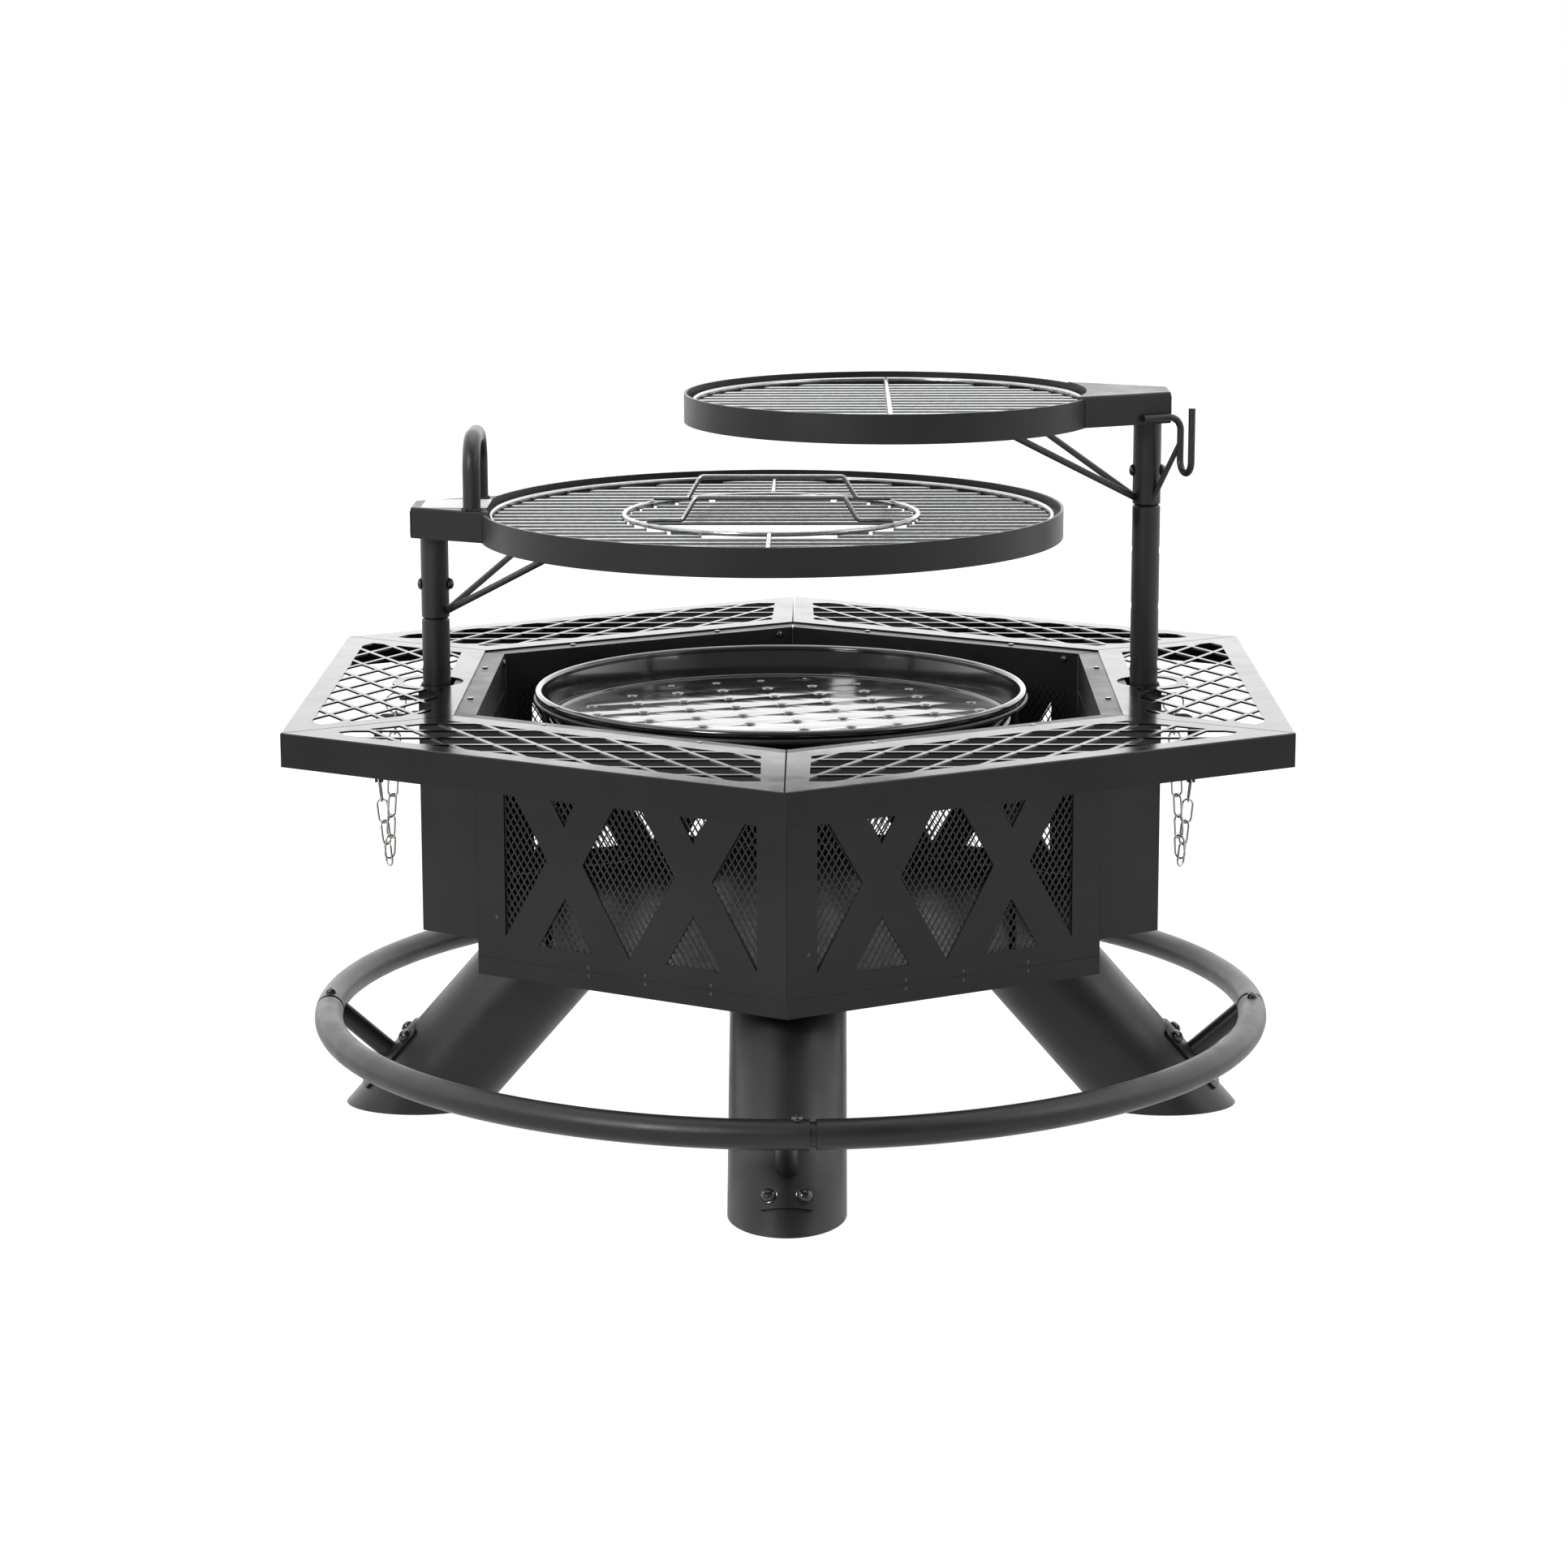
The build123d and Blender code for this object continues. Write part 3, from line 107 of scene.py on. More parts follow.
def bump(tree_nodes, links, height, strength, distance, normal=None):
    """Surface relief from a grey, over a coarser relief where one is given."""
    b = tree_nodes.new("ShaderNodeBump")
    b.inputs["Strength"].default_value = strength
    b.inputs["Distance"].default_value = distance
    links.new(height, b.inputs["Height"])
    if normal is not None:
        links.new(normal, b.inputs["Normal"])
    return b.outputs["Normal"]


def powder_coat(name, base, rough, grain, orange_peel, gloss):
    """Cured powder paint: a fine grain on a slow orange peel, with a little drift in gloss."""
    tone_spread = 0.0015
    mat, n, links, shader = new_material(name, base, rough, Specular_IOR_Level=gloss)
    where = object_coordinates(n)
    slow = noise(n, links, where, scale=9.0, detail=4.0)
    darker = [max(c - tone_spread, 0.0) for c in base]
    lighter = [c + tone_spread for c in base]
    links.new(ramp(n, links, slow, darker, lighter), shader.inputs["Base Color"])
    drift = noise(n, links, where, scale=26.0, detail=5.0)
    gloss_drift = map_range(n, links, drift, rough - 0.05, rough + 0.06)
    links.new(gloss_drift, shader.inputs["Roughness"])
    slow_waves = noise(n, links, where, scale=260.0, detail=1.0)
    peel = bump(n, links, slow_waves, strength=orange_peel, distance=0.0006)
    specks = noise(n, links, where, scale=1500.0, detail=2.0)
    fine = bump(n, links, specks, strength=grain, distance=0.00025, normal=peel)
    links.new(fine, shader.inputs["Normal"])
    return mat


def bright_wire(name, base, rough, haze):
    """Plated or polished wire with fine drawing marks and faint haze."""
    mat, n, links, shader = new_material(name, base, rough, metallic=1.0)
    where = object_coordinates(n)
    clouds = noise(n, links, where, scale=60.0, detail=4.0)
    dulled = map_range(n, links, clouds, rough - haze, rough + haze)
    links.new(dulled, shader.inputs["Roughness"])
    darker = [c * 0.82 for c in base]
    stains = noise(n, links, where, scale=140.0, detail=2.0)
    links.new(ramp(n, links, stains, darker, base), shader.inputs["Base Color"])
    scratches = noise(n, links, where, scale=700.0, detail=1.0)
    marks = bump(n, links, scratches, strength=0.012, distance=0.0002)
    links.new(marks, shader.inputs["Normal"])
    return mat


def enamel(name, base, rough):
    """Thick glossy enamel that gathers in slow waves."""
    mat, n, links, shader = new_material(name, base, rough, Coat_Weight=0.25, Coat_Roughness=0.05)
    where = object_coordinates(n)
    drift = noise(n, links, where, scale=14.0, detail=3.0)
    gloss_drift = map_range(n, links, drift, rough - 0.03, rough + 0.06)
    links.new(gloss_drift, shader.inputs["Roughness"])
    pools = noise(n, links, where, scale=11.0, detail=1.5)
    waves = bump(n, links, pools, strength=0.03, distance=0.006)
    ripples = noise(n, links, where, scale=170.0, detail=1.0)
    peel = bump(n, links, ripples, strength=0.04, distance=0.0005, normal=waves)
    links.new(peel, shader.inputs["Normal"])
    links.new(peel, shader.inputs["Coat Normal"])
    return mat


def paper(name):
    """Matt pale label stock with faint fibres."""
    mat, n, links, shader = new_material(name, (0.36, 0.36, 0.355), rough=0.55)
    where = object_coordinates(n)
    fibres = noise(n, links, where, scale=420.0, detail=4.0)
    pulp = ramp(n, links, fibres, (0.33, 0.33, 0.325), (0.39, 0.39, 0.385))
    links.new(pulp, shader.inputs["Base Color"])
    links.new(bump(n, links, fibres, strength=0.1, distance=0.0001), shader.inputs["Normal"])
    return mat


COAT = powder_coat(
    "powder_coat_black", (0.0065, 0.0065, 0.0068), rough=0.38, grain=0.25, orange_peel=0.12, gloss=0.24
)
TABLE_COAT = powder_coat(
    "table_coat_black", (0.004, 0.004, 0.0042), rough=0.15, grain=0.004, orange_peel=0.004, gloss=0.20
)
TUBE_COAT = powder_coat(
    "tube_coat_black", (0.005, 0.005, 0.0053), rough=0.40, grain=0.30, orange_peel=0.12, gloss=0.34
)
MESH_COAT = powder_coat(
    "mesh_coat_black", (0.008, 0.008, 0.008), rough=0.46, grain=0.2, orange_peel=0.1, gloss=0.4
)
FASTENER = powder_coat(
    "fastener_black", (0.008, 0.008, 0.0085), rough=0.16, grain=0.05, orange_peel=0.08, gloss=0.6
)
CHROME = bright_wire("chrome_wire", (0.30, 0.305, 0.31), rough=0.20, haze=0.05)
NICKEL = bright_wire("nickel_chain", (0.40, 0.385, 0.36), rough=0.26, haze=0.06)
ENAMEL = enamel("pan_enamel_black", (0.008, 0.008, 0.0085), rough=0.12)
LABEL = paper("label_paper")

SLOT_LOOKS = {
    "powder_coat": COAT,
    "table_coat": TABLE_COAT,
    "mesh_coat": MESH_COAT,
    "chrome_wire": CHROME,
    "nickel_chain": NICKEL,
    "pan_enamel": ENAMEL,
    "fastener": FASTENER,
}
TUBES = (
    "leg_",
    "foot_ring_",
    "ring_bracket_",
    "left_post",
    "right_post",
    "left_sleeve",
    "right_sleeve",
    "grip_handle",
    "tool_hook",
)
for row in frame["record"]["subparts"]:
    look = SLOT_LOOKS[row["material_slot"]]
    if look is COAT and row["node"].startswith(TUBES):
        look = TUBE_COAT
    for material_slot in nodes[row["node"]].material_slots:
        material_slot.material = look


# ------------------------------------------------------------------ mesh helpers
def finish_mesh(name, bm, material, body, smooth_angle=40.0):
    """Turn a bmesh into a piece that rides on a body."""
    data = bpy.data.meshes.new(name)
    bmesh.ops.recalc_face_normals(bm, faces=bm.faces)
    bm.to_mesh(data)
    bm.free()
    data.materials.append(material)
    piece = bpy.data.objects.new(name, data)
    bpy.context.scene.collection.objects.link(piece)
    for polygon in data.polygons:
        polygon.use_smooth = True
    data.set_sharp_from_angle(angle=math.radians(smooth_angle))
    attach(piece, body)
    return piece


def angles(count):
    """Evenly spaced angles round a circle."""
    return [2 * math.pi * k / count for k in range(count)]


def new_ring(bm, centre, side, other, radius, count):
    """Vertices on a circle that lies along two directions."""
    centre = Vector(centre)
    return [
        bm.verts.new(centre + (side * math.cos(a) + other * math.sin(a)) * radius)
        for a in angles(count)
    ]


def bridge(bm, a, b, shift=0):
    """Faces between two rings of equally many vertices."""
    count = len(a)
    for k in range(count):
        k2 = (k + 1) % count
        bm.faces.new((a[k], a[k2], b[(k2 + shift) % count], b[(k + shift) % count]))


def sweep_tube(bm, points, radius, sides=16, closed=False):
    """Round tube along points, carried round bends without twisting, with eased ends."""
    end_share = 0.72
    end_rise = 0.22
    points = [Vector(p) for p in points]
    count = len(points)
    tangents = []
    for i in range(count):
        before = points[i - 1] if (closed or i > 0) else points[i]
        after = points[(i + 1) % count] if (closed or i < count - 1) else points[i]
        tangents.append((after - before).normalized())
    side = tangents[0].orthogonal().normalized()
    rings = []
    for centre, tangent in zip(points, tangents):
        side = (side - tangent * side.dot(tangent)).normalized()
        rings.append(new_ring(bm, centre, side, tangent.cross(side), radius, sides))
    for a, b in zip(rings, rings[1:]):
        bridge(bm, a, b)
    if closed:
        last, first = rings[-1], rings[0]
        shift = min(range(sides), key=lambda s: (first[s].co - last[0].co).length)
        bridge(bm, last, first, shift)
        return
    ends = ((rings[0], points[0], -tangents[0]), (rings[-1], points[-1], tangents[-1]))
    for ring, centre, out in ends:
        rise = out * radius * end_rise
        inner = [bm.verts.new(centre + (v.co - centre) * end_share + rise) for v in ring]
        bridge(bm, ring, inner)
        bm.faces.new(inner)


def circle_points(centre, radius, count):
    """Points on a level circle."""
    return [
        Vector(centre) + Vector((radius * math.cos(a), radius * math.sin(a), 0)) for a in angles(count)
    ]


def lathe(bm, profile, centre, segments):
    """Surface of revolution of (radius, z) points about a vertical axis."""
    east, north = Vector((1, 0, 0)), Vector((0, 1, 0))
    rings = [new_ring(bm, (*centre, z), east, north, radius, segments) for radius, z in profile]
    for a, b in zip(rings, rings[1:]):
        bridge(bm, a, b)


def rounded(points, radius, steps=6):
    """A route of straight runs with its corners rounded."""
    points = [Vector(p) for p in points]
    out = [points[0]]
    for before, corner, after in zip(points, points[1:], points[2:]):
        a = (before - corner).normalized()
        b = (after - corner).normalized()
        cut = radius / math.tan(a.angle(b) / 2)
        start, end = corner + a * cut, corner + b * cut
        for k in range(steps + 1):
            t = k / steps
            out.append(start.lerp(corner, t).lerp(corner.lerp(end, t), t))
    out.append(points[-1])
    return out


def frame_axes(azimuth):
    """Outward, sideways and up directions of one side of the hexagon."""
    a = math.radians(azimuth)
    out = Vector((math.cos(a), math.sin(a), 0))
    along = Vector((-math.sin(a), math.cos(a), 0))
    return out, along, Vector((0, 0, 1))


# ------------------------------------------------------------------ expanded mesh screens
DIAMOND_WIDE = 8.0 * MM
DIAMOND_HIGH = 12.5 * MM
STRAND = 1.25 * MM
SHORTEST_STRAND = 0.01 * MM
FACES = {
    "front_left": 240,
    "front_right": 300,
    "right": 0,
    "back_right": 60,
    "back_left": 120,
    "left": 180,
}


def strand_span(offset, slope, half_wide, high):
    """Ends of a slanting strand x = offset + slope * z inside the panel."""
    spans = [0.0, high]
    for x in (-half_wide, half_wide):
        spans.append((x - offset) / slope)
    z = sorted(spans)
    for low, top in zip(z, z[1:]):
        middle = (low + top) / 2
        inside = 0 < middle < high and abs(offset + slope * middle) < half_wide
        if inside and top - low > SHORTEST_STRAND:
            return low, top
    return None


def expanded_mesh(face, azimuth):
    """Diamond mesh of slanting, slightly twisted strands that cross inside the panel's outline."""
    node = f"mesh_screen_{face}"
    out, along, up = frame_axes(azimuth)
    corners = [v.co for v in nodes[node].data.vertices]
    back = min(c.dot(out) for c in corners)
    front = max(c.dot(out) for c in corners)
    half = max(c.dot(along) for c in corners)
    low = min(c.z for c in corners)
    high = max(c.z for c in corners) - low
    middle = (back + front) / 2
    depth = 0.8 * (front - back) / 2
    twist = 0.15 * STRAND
    bm = bmesh.new()
    slope = DIAMOND_WIDE / DIAMOND_HIGH
    for side in (-1, 1):
        reach = half + high * slope
        count = int(reach / DIAMOND_WIDE) + 1
        for k in range(-count, count + 1):
            offset = k * DIAMOND_WIDE - side * slope * high / 2
            span = strand_span(offset, side * slope, half, high)
            if span is None:
                continue
            ends = []
            for z in span:
                x = offset + side * slope * z
                ends.append(out * middle + along * x + up * (low + z))
            run = (ends[1] - ends[0]).normalized()
            across = run.cross(out)
            lean = out * depth + across * (side * twist)
            ring = []
            for end in ends:
                for s, d in ((-1, -1), (1, -1), (1, 1), (-1, 1)):
                    ring.append(bm.verts.new(end + across * (s * STRAND / 2) + lean * d))
            for q in range(4):
                r = (q + 1) % 4
                bm.faces.new((ring[q], ring[r], ring[4 + r], ring[4 + q]))
            bm.faces.new(ring[:4])
            bm.faces.new(ring[4:])
    piece = finish_mesh(f"expanded_mesh_{face}", bm, MESH_COAT, "base", 30)
    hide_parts(node)


for face, azimuth in FACES.items():
    expanded_mesh(face, azimuth)

# ------------------------------------------------------------------ wire grates
BAR = 2.25 * MM
RIM_WIRE = 2.75 * MM
HANDLE_WIRE = 2.5 * MM
LOWER_PITCH = 26 * MM
UPPER_PITCH = 26.5 * MM
HOLE_RING = 164.5 * MM
HOLE_BARS_END = 160 * MM
INSERT_BARS_END = 156.8 * MM
INSERT_LAST_BAR = -117 * MM
HANDLE_OFFSET = 88 * MM
HANDLE_END = 131 * MM
HANDLE_BEND = 93 * MM
HANDLE_TOP = 79 * MM
HANDLE_ROUND = 6 * MM


def grate_levels(node):
    """Centre, rim radius, rim height and bar height of a grate, from the box of its CAD node."""
    low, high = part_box(node)
    rim_z = high.z - RIM_WIRE
    return (low.x + high.x) / 2, (high.x - low.x) / 2 - RIM_WIRE, rim_z, rim_z - RIM_WIRE - BAR


def chord(radius, y):
    """Half the width of a circle at y from its middle."""
    return math.sqrt(max(radius * radius - y * y, 0))


def bars(bm, x, z, spans):
    """Straight bars along X, each from its start to its end at its own y."""
    for start, end, y in spans:
        sweep_tube(bm, [(x + start, y, z), (x + end, y, z)], BAR)


def full_bars(radius, places):
    """Spans of bars that cross a whole circle."""
    return [(-chord(radius, y), chord(radius, y), y) for y in places]


def rim_ring(bm, x, z, radius, segments, wire=RIM_WIRE):
    """Level ring of wire about the middle of a grate."""
    sweep_tube(bm, circle_points((x, 0, z), radius, segments), wire, closed=True)


x, rim, rim_z, level = grate_levels("lower_grate")
bm = bmesh.new()
spans = []
for k in range(-12, 12):
    y = (k + 0.5) * LOWER_PITCH
    end = chord(rim, y)
    start = chord(HOLE_BARS_END, y)
    if start == 0:
        spans.append((-end, end, y))
    else:
        spans += [(-end, -start, y), (start, end, y)]
bars(bm, x, level, spans)
rim_ring(bm, x, rim_z, rim, 200)
rim_ring(bm, x, level - BAR - HANDLE_WIRE, HOLE_RING, 144, HANDLE_WIRE)
for side in (-1, 1):
    ends = [(x, side * (HOLE_RING + 4 * MM), rim_z), (x, side * (rim - 3 * MM), rim_z)]
    sweep_tube(bm, ends, RIM_WIRE)
piece = finish_mesh("lower_grate_wires", bm, CHROME, "grate")
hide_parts("lower_grate")

# The insert's bars lie at the level of the lower grate's.
low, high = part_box("grate_insert")
bm = bmesh.new()
places = [(k + 0.5) * LOWER_PITCH for k in range(-2, 6)] + [INSERT_LAST_BAR]
bars(bm, x, level, full_bars(INSERT_BARS_END, places))
rim_ring(bm, x, rim_z, (high.x - low.x) / 2 - RIM_WIRE, 144)
foot = rim_z + RIM_WIRE + HANDLE_WIRE
top = high.z - HANDLE_WIRE
for side in (-1, 1):
    y = side * HANDLE_OFFSET
    route = [
        (x - HANDLE_END, y, foot),
        (x - HANDLE_BEND, y, foot),
        (x - HANDLE_TOP, y, top),
        (x + HANDLE_TOP, y, top),
        (x + HANDLE_BEND, y, foot),
        (x + HANDLE_END, y, foot),
    ]
    sweep_tube(bm, rounded(route, HANDLE_ROUND), HANDLE_WIRE)
piece = finish_mesh("grate_insert_wires", bm, CHROME, "insert")
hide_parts("grate_insert")

x, rim, rim_z, level = grate_levels("upper_grate")
bm = bmesh.new()
bars(bm, x, level, full_bars(rim, [k * UPPER_PITCH for k in range(-7, 8)]))
rim_ring(bm, x, rim_z, rim, 176)
sweep_tube(bm, [(x, -rim + 3 * MM, rim_z), (x, rim - 3 * MM, rim_z)], RIM_WIRE)
piece = finish_mesh("upper_grate_wires", bm, CHROME, "top_grate")
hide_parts("upper_grate")

# ------------------------------------------------------------------ label on the left arm
LABEL_EDGE = [(-398, -31), (-398, 31), (-392, 34), (-326, 36), (-326, -36), (-392, -34)]
LABEL_FACES = (0.02 * MM, 0.25 * MM)

arm_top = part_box("left_arm")[1].z
bm = bmesh.new()
for lift in LABEL_FACES:
    bm.faces.new([bm.verts.new((px * MM, py * MM, arm_top + lift)) for px, py in LABEL_EDGE])
finish_mesh("arm_label", bm, LABEL, "left_swing", 20)

# ------------------------------------------------------------------ fire pan
low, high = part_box("fire_pan")
PAN_X = (low.x + high.x) / 2
PAN_OUTER = (high.x - low.x) / 2
PAN_TOP = high.z
PAN_BOTTOM = low.z
SHEET = 1.6 * MM
FLOOR_EDGE = 246.5 * MM
HOLE_STEPS = ((8.6 * MM, -49.8 * MM), (50.5 * MM, 15.5 * MM))
HOLE_START = (9.0 * MM, 13.0 * MM)
HOLE_LIMIT = 232 * MM
HOLE_EDGE = 3.3 * MM
HOLE_RINGS = ((3.4 * MM, -1.5 * MM), (4.6 * MM, -1.1 * MM), (6.0 * MM, -0.3 * MM), (7.6 * MM, 0.0))
HOLE_SEGMENTS = 20
FLOOR_SEGMENTS = 160
WALL_SEGMENTS = 192
BEAD = 2.6 * MM
BEAD_RISE = 2.4 * MM
ROLL = 4.0 * MM


def drain_holes():
    """Centres of the drain holes about the middle of the pan."""
    (a, b), (c, d) = HOLE_STEPS
    start_x, start_y = HOLE_START
    grid = [(i, j) for i in range(-6, 7) for j in range(-6, 7)]
    places = [(start_x + i * a + j * c, start_y + i * b + j * d) for i, j in grid]
    return [p for p in places if math.hypot(*p) < HOLE_LIMIT]


def pan_floor(bm):
    """Pierced sheet whose hole rims are pressed down, closed below."""
    holes = drain_holes()
    loops = [((0, 0), FLOOR_EDGE, 0.0, FLOOR_SEGMENTS)]
    for hole in holes:
        loops += [(hole, radius, depth, HOLE_SEGMENTS) for radius, depth in HOLE_RINGS]
    flat, edges, drop = [], [], []
    for (cx, cy), radius, depth, count in loops:
        start = len(flat)
        for k, a in enumerate(angles(count)):
            flat.append(Vector((cx + radius * math.cos(a), cy + radius * math.sin(a))))
            drop.append(depth)
            edges.append((start + k, start + (k + 1) % count))
    points, _, faces, originals, _, _ = delaunay_2d_cdt(flat, edges, [], 0, 1e-7)
    depth = [drop[source[0]] if source else 0.0 for source in originals]
    top, under = [], []
    for p, d in zip(points, depth):
        top.append(bm.verts.new((p.x + PAN_X, p.y, PAN_BOTTOM + SHEET + d)))
    for p, d in zip(points, depth):
        under.append(bm.verts.new((p.x + PAN_X, p.y, PAN_BOTTOM + d * 0.4)))
    sides = []
    for face in faces:
        middle = sum((points[i] for i in face), Vector((0, 0))) / len(face)
        if middle.length > FLOOR_EDGE:
            continue
        if any(math.hypot(middle.x - h[0], middle.y - h[1]) < HOLE_EDGE for h in holes):
            continue
        bm.faces.new([top[i] for i in face])
        bm.faces.new([under[i] for i in reversed(face)])
        sides += zip(face, face[1:] + face[:1])
    inner = set(sides)
    for i, j in sides:
        if (j, i) not in inner:
            bm.faces.new((top[j], top[i], under[i], under[j]))


def pan_wall():
    """Closed section of the wall, its foot bead and its rolled rim."""
    roll_x, roll_z = PAN_OUTER - ROLL, PAN_TOP - ROLL
    floor = PAN_BOTTOM + SHEET
    section = [(FLOOR_EDGE - 0.2 * MM, floor - 0.1 * MM)]
    for k in range(7):
        a = math.pi - math.pi * k / 6
        section.append((FLOOR_EDGE + BEAD + BEAD * math.cos(a), floor + BEAD_RISE * math.sin(a)))
    section.append((251.5 * MM, floor + 0.8 * MM))
    section.append((roll_x - 3.8 * MM, roll_z - 3.0 * MM))
    for k in range(17):
        a = math.radians(200 - 290 * k / 16)
        section.append((roll_x + ROLL * math.cos(a), roll_z + ROLL * math.sin(a)))
    section.append((roll_x - 1.2 * MM, roll_z - 4.0 * MM))
    section.append((253.0 * MM, PAN_BOTTOM + 1.6 * MM))
    section.append((250.5 * MM, PAN_BOTTOM))
    section.append((FLOOR_EDGE - 0.2 * MM, PAN_BOTTOM))
    return section + section[:1]


bm = bmesh.new()
pan_floor(bm)
lathe(bm, pan_wall(), (PAN_X, 0), WALL_SEGMENTS)
piece = finish_mesh("fire_pan_pressed", bm, ENAMEL, "pan", 50)
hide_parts("fire_pan")


# ------------------------------------------------------------------ screws, rivets and welds
# Share of the head's radius and of its height, from the washer to the edge of the recess.
HEAD_PROFILE = (
    (1.12, 0.0),
    (1.12, 0.14),
    (1.0, 0.16),
    (1.0, 0.34),
    (0.9, 0.62),
    (0.66, 0.86),
    (0.34, 0.97),
)
HEAD_SEGMENTS = 24
RECESS_LEVEL = 0.72
RIPPLE = 1.6 * MM


def domed_head(bm, centre, axis, radius, height):
    """Round domed screw head with a washer and a shallow cross recess."""
    centre = Vector(centre)
    axis = Vector(axis).normalized()
    side = axis.orthogonal().normalized()
    other = axis.cross(side)
    rings = []
    for share, rise in HEAD_PROFILE:
        seat = centre + axis * height * rise
        rings.append(new_ring(bm, seat, side, other, radius * share, HEAD_SEGMENTS))
    sunk = []
    for k, a in enumerate(angles(HEAD_SEGMENTS)):
        share = 0.30 if k % 6 < 2 else 0.12
        out = (side * math.cos(a) + other * math.sin(a)) * radius * share
        sunk.append(bm.verts.new(centre + out + axis * height * RECESS_LEVEL))
    rings.append(sunk)
    for a, b in zip(rings, rings[1:]):
        bridge(bm, a, b)
    bm.faces.new(rings[0])
    bm.faces.new(sunk)


def weld(bm, start, end, radius, seed):
    """Short fillet weld with uneven ripples."""
    rng = random.Random(seed)
    start, end = Vector(start), Vector(end)
    steps = max(6, int((end - start).length / RIPPLE))
    run = (end - start).normalized()
    side = run.orthogonal().normalized()
    other = run.cross(side)
    rings = []
    for i in range(steps + 1):
        swell = radius * (0.82 + 0.28 * (i % 2) + rng.uniform(-0.12, 0.12))
        if i in (0, steps):
            swell *= 0.45
        rings.append(new_ring(bm, start.lerp(end, i / steps), side, other, swell, 10))
    for a, b in zip(rings, rings[1:]):
        bridge(bm, a, b)
    bm.faces.new(rings[0])
    bm.faces.new(rings[-1])


LEG_TILT = math.radians(41)
FOOT_REACH = 416 * MM
RING_REACH = 511 * MM
RING_LEVEL = 112 * MM
STATION = (FOOT_REACH - RING_REACH) * math.sin(LEG_TILT) + RING_LEVEL * math.cos(LEG_TILT)
PLATE_FACE = 64.1 * MM
BRACKET_SCREW_STEPS = (-29 * MM, 29 * MM)
# Angles in degrees: of the screws about the leg, and of the joints and their screws about the pit.
BRACKET_SCREW_TURNS = (-16.5, 16.5)
RING_JOINTS = (-87.4, -1.9, 92.6, 182.7)
RING_SCREW_ANGLE = 1.4
RING_TOP = RING_LEVEL + 15.3 * MM


def bracket_screws(azimuth):
    """Seats and directions of the four screws of a ring bracket."""
    out, along, up = frame_axes(azimuth)
    axis = up * math.cos(LEG_TILT) - out * math.sin(LEG_TILT)
    normal = out * math.cos(LEG_TILT) + up * math.sin(LEG_TILT)
    middle = out * FOOT_REACH + axis * STATION
    places = []
    for step in BRACKET_SCREW_STEPS:
        for turn in BRACKET_SCREW_TURNS:
            a = math.radians(turn)
            facing = normal * math.cos(a) + along * math.sin(a)
            places.append((middle + axis * step + facing * PLATE_FACE, facing))
    return places


bm = bmesh.new()
for azimuth in (-90, 0, 90, 180):
    for seat, facing in bracket_screws(azimuth):
        domed_head(bm, seat, facing, 7.4 * MM, 6.2 * MM)
        sweep_tube(bm, [seat - facing * 12 * MM, seat + facing * 0.5 * MM], 3.9 * MM)
for joint in RING_JOINTS:
    a = math.radians(joint - RING_SCREW_ANGLE)
    seat = Vector((RING_REACH * math.cos(a), RING_REACH * math.sin(a), RING_TOP))
    domed_head(bm, seat, (0, 0, 1), 5.6 * MM, 4.8 * MM)
    sweep_tube(bm, [seat - Vector((0, 0, 6 * MM)), seat], 2.9 * MM)
piece = finish_mesh("frame_screws_domed", bm, FASTENER, "base", 35)
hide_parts("frame_bolts")

BODY_FLAT = 329.96 * MM
BODY_CORNER = 378.4 * MM
WALL_LEVELS = (216 * MM, 472 * MM)
INSIDE_SCREW = (-171 * MM, 466 * MM)
OUTSIDE_RIVET = (-165.5 * MM, 259.4 * MM)
TAB_PLACES = (-50 * MM, 20 * MM, 100 * MM)
TAB_RIVET_LEVELS = (209.5 * MM, 219.0 * MM)

bm = bmesh.new()
for azimuth in FACES.values():
    out, along, up = frame_axes(azimuth)
    inside = out * (BODY_FLAT - 2 * MM) + along * INSIDE_SCREW[0] + up * INSIDE_SCREW[1]
    domed_head(bm, inside, -out, 4.2 * MM, 3.0 * MM)
    outside = out * BODY_FLAT + along * OUTSIDE_RIVET[0] + up * OUTSIDE_RIVET[1]
    domed_head(bm, outside, out, 1.9 * MM, 0.9 * MM)
    for place in TAB_PLACES:
        for height in TAB_RIVET_LEVELS:
            domed_head(bm, out * BODY_FLAT + along * place + up * height, out, 1.7 * MM, 0.9 * MM)
finish_mesh("body_rivets", bm, FASTENER, "base", 35)

bm = bmesh.new()
for azimuth in FACES.values():
    corner = frame_axes(azimuth + 30)[0] * BODY_CORNER
    sweep_tube(bm, [corner + Vector((0, 0, z)) for z in WALL_LEVELS], 1.2 * MM, sides=8)
finish_mesh("body_corner_seams", bm, COAT, "base", 60)

POST_X = 387 * MM
SLEEVE_RADIUS = 15.0 * MM
SLEEVE_BOLT_RISE = 36 * MM
BOLT_HEADS = ((-1, 4.2 * MM), (1, 5.6 * MM))
SLEEVES = (("left", -POST_X, 548.5 * MM), ("right", POST_X, 672.5 * MM))

for name, post_x, bottom in SLEEVES:
    bm = bmesh.new()
    for side, height in BOLT_HEADS:
        seat = Vector((post_x + side * SLEEVE_RADIUS, 0, bottom + SLEEVE_BOLT_RISE))
        domed_head(bm, seat, (side, 0, 0), 6.2 * MM, height)
        sweep_tube(bm, [seat - Vector((side * 4 * MM, 0, 0)), seat], 3.3 * MM)
    piece = finish_mesh(f"{name}_sleeve_bolts", bm, FASTENER, f"{name}_swing", 35)
    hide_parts(f"{name}_sleeve_screws")

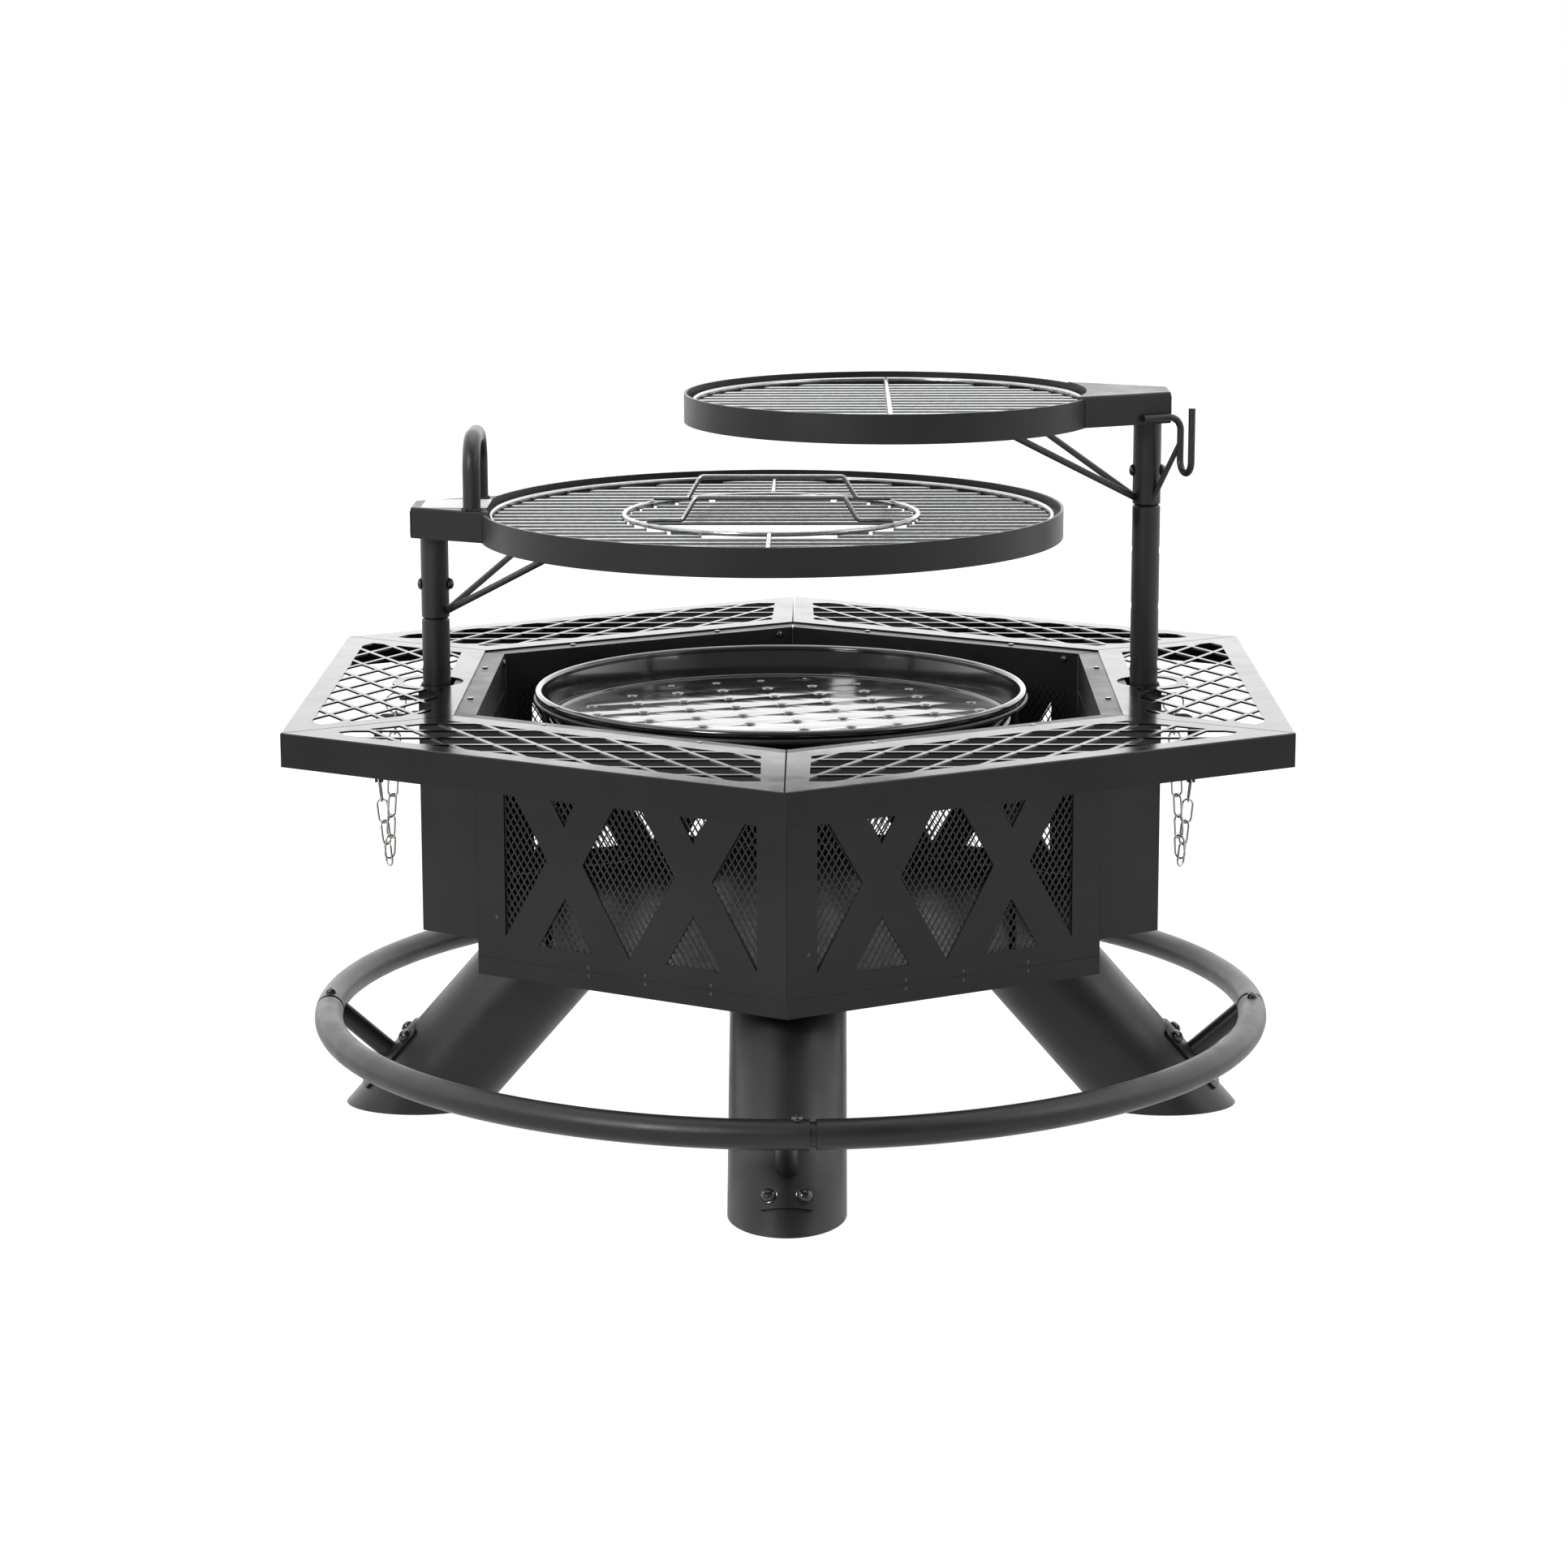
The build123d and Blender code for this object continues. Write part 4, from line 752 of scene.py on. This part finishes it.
ARM_HALF = 28 * MM
ARM_FLARE = 0.5
ARM_FLARE_START = 22.5 * MM
ARM_LIP = 2.6 * MM
ARM_DROP = 30 * MM
BACK_WELD = (22.2 * MM, 27.7 * MM)


def arm_weld_points(post_x, centre_x, radius):
    """Where the sides of an arm meet the outside of its band."""
    toward = math.copysign(1, centre_x - post_x)
    reach = abs(centre_x - post_x)
    u = reach - radius
    for _ in range(40):
        half = ARM_HALF + ARM_FLARE * (u + ARM_FLARE_START)
        u = reach - math.sqrt(radius**2 - half**2)
    return post_x + toward * u, half


ARMS = (
    (-POST_X, -20 * MM, 317 * MM, "left_swing", "left_arm"),
    (POST_X, 107 * MM, 221 * MM, "right_swing", "right_arm"),
)
for post_x, centre_x, radius, body, arm_node in ARMS:
    band_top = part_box(arm_node)[1].z - ARM_LIP
    foot_z = band_top - ARM_DROP
    front_x, front_y = arm_weld_points(post_x, centre_x, radius)
    back_x = post_x - math.copysign(BACK_WELD[0], centre_x - post_x)
    back_y = BACK_WELD[1]
    bm = bmesh.new()
    for side in (-1, 1):
        foot = (front_x, side * front_y, foot_z)
        head = (front_x, side * front_y, band_top - 0.5 * MM)
        weld(bm, foot, head, 1.7 * MM, int(radius * 1000) + side)
    for side in (-1, 1):
        foot = (back_x, side * back_y, foot_z)
        head = (back_x, side * back_y, band_top - 1 * MM)
        weld(bm, foot, head, 1.1 * MM, int(radius * 900) + side)
    finish_mesh(f"{arm_node}_welds", bm, COAT, body, 60)

GRIP_FOOT = 50 * MM
GRIP_WELD = 10.2 * MM
GRIP_BEADS = 12
BEAD_LAP = 1.15

low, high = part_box("grip_handle")
grip_x = (low.x + high.x) / 2
bm = bmesh.new()
for side in (-1, 1):
    seat = Vector((grip_x, side * GRIP_FOOT, low.z + 0.6 * MM))
    for k in range(GRIP_BEADS):
        beads = [2 * math.pi * place / GRIP_BEADS for place in (k, k + BEAD_LAP)]
        start, end = [seat + Vector((math.cos(a), math.sin(a), 0)) * GRIP_WELD for a in beads]
        weld(bm, start, end, 1.5 * MM, k)
finish_mesh("grip_welds", bm, COAT, "left_swing", 60)


# ------------------------------------------------------------------ light, floor and camera
def area_light(name, location, target, size, power):
    """Soft rectangular light turned towards a point."""
    data = bpy.data.lights.new(name, "AREA")
    data.shape = "RECTANGLE"
    data.size, data.size_y = size
    data.energy = power
    light = bpy.data.objects.new(name, data)
    bpy.context.scene.collection.objects.link(light)
    light.location = location
    light.rotation_euler = (Vector(target) - Vector(location)).to_track_quat("-Z", "Y").to_euler()


# Strength of the surroundings in front of the object, behind it and at its sides.
FRONT_LEVEL = 0.34
BACK_LEVEL = 2.4
SIDE_LEVEL = 0.9
WHITE = (1, 1, 1, 1)

world = bpy.data.worlds.new("studio")
bpy.context.scene.world = world
world.use_nodes = True
n, links = world.node_tree.nodes, world.node_tree.links
background = n["Background"]
background.inputs["Color"].default_value = WHITE
split = n.new("ShaderNodeSeparateXYZ")
links.new(n.new("ShaderNodeTexCoord").outputs["Generated"], split.inputs["Vector"])
from_front = map_range(n, links, split.outputs["Y"], FRONT_LEVEL, BACK_LEVEL, -0.55, 0.25)
sideways = n.new("ShaderNodeMath")
sideways.operation = "ABSOLUTE"
links.new(split.outputs["X"], sideways.inputs[0])
from_side = map_range(n, links, sideways.outputs["Value"], 0.0, SIDE_LEVEL, 0.45, 0.9)
strength = n.new("ShaderNodeMath")
strength.operation = "MAXIMUM"
links.new(from_front, strength.inputs[0])
links.new(from_side, strength.inputs[1])
links.new(strength.outputs["Value"], background.inputs["Strength"])
# The camera sees a plain white backdrop, and only reflections and light see the levels.
backdrop = n.new("ShaderNodeBackground")
backdrop.inputs["Strength"].default_value = 1.0
backdrop.inputs["Color"].default_value = WHITE
seen = n.new("ShaderNodeLightPath")
blend = n.new("ShaderNodeMixShader")
links.new(seen.outputs["Is Camera Ray"], blend.inputs["Fac"])
links.new(background.outputs["Background"], blend.inputs[1])
links.new(backdrop.outputs["Background"], blend.inputs[2])
links.new(blend.outputs["Shader"], n["World Output"].inputs["Surface"])

area_light("soft_left", (-2.8, -1.2, 2.0), (0, 0, 0.4), (1.4, 2.0), 14)
area_light("soft_right", (2.8, -1.2, 2.0), (0, 0, 0.4), (1.4, 2.0), 28)
area_light("soft_top", (0, 0.6, 3.4), (0, 0, 0.4), (2.6, 2.6), 40)
area_light("key_front_left", (-2.1, -3.1, 2.3), (0, 0, 0.2), (0.8, 1.2), 120)

FLOOR_HALF = 30
FLOOR_DROP = 0.5 * MM

floor_mat, n, links, shader = new_material(
    "studio_floor",
    (0.16, 0.16, 0.16),
    rough=0.9,
    Emission_Color=WHITE,
    Emission_Strength=0.93,
    Specular_IOR_Level=0.1,
)
faint = noise(n, links, object_coordinates(n), scale=2.0, detail=2.0)
mottle = ramp(n, links, faint, (0.155, 0.155, 0.155), (0.165, 0.165, 0.165))
links.new(mottle, shader.inputs["Base Color"])
bm = bmesh.new()
bmesh.ops.create_grid(bm, x_segments=2, y_segments=2, size=FLOOR_HALF)
floor_data = bpy.data.meshes.new("studio_floor")
bm.to_mesh(floor_data)
bm.free()
floor_data.materials.append(floor_mat)
floor = bpy.data.objects.new("studio_floor", floor_data)
bpy.context.scene.collection.objects.link(floor)
floor.location.z = -FLOOR_DROP

CAMERA_AT = (0.03946, -4.3409, 1.2538)
CAMERA_YAW = 0.609
CAMERA_PITCH = 11.619
CAMERA_ROLL = -0.12
FOCAL_PIXELS = 4958.3
IMAGE_PIXELS = 1932
SENSOR = 36

camera_data = bpy.data.cameras.new("camera")
camera_data.sensor_width = SENSOR
camera_data.lens = FOCAL_PIXELS / IMAGE_PIXELS * SENSOR
camera = bpy.data.objects.new("camera", camera_data)
bpy.context.scene.collection.objects.link(camera)
turn = Matrix.Rotation(math.radians(CAMERA_YAW), 4, "Z")
tilt = Matrix.Rotation(math.radians(90 - CAMERA_PITCH), 4, "X")
roll = Matrix.Rotation(math.radians(CAMERA_ROLL), 4, "Z")
camera.matrix_world = Matrix.Translation(CAMERA_AT) @ turn @ tilt @ roll
bpy.context.scene.camera = camera
bpy.context.scene.view_settings.view_transform = "Standard"
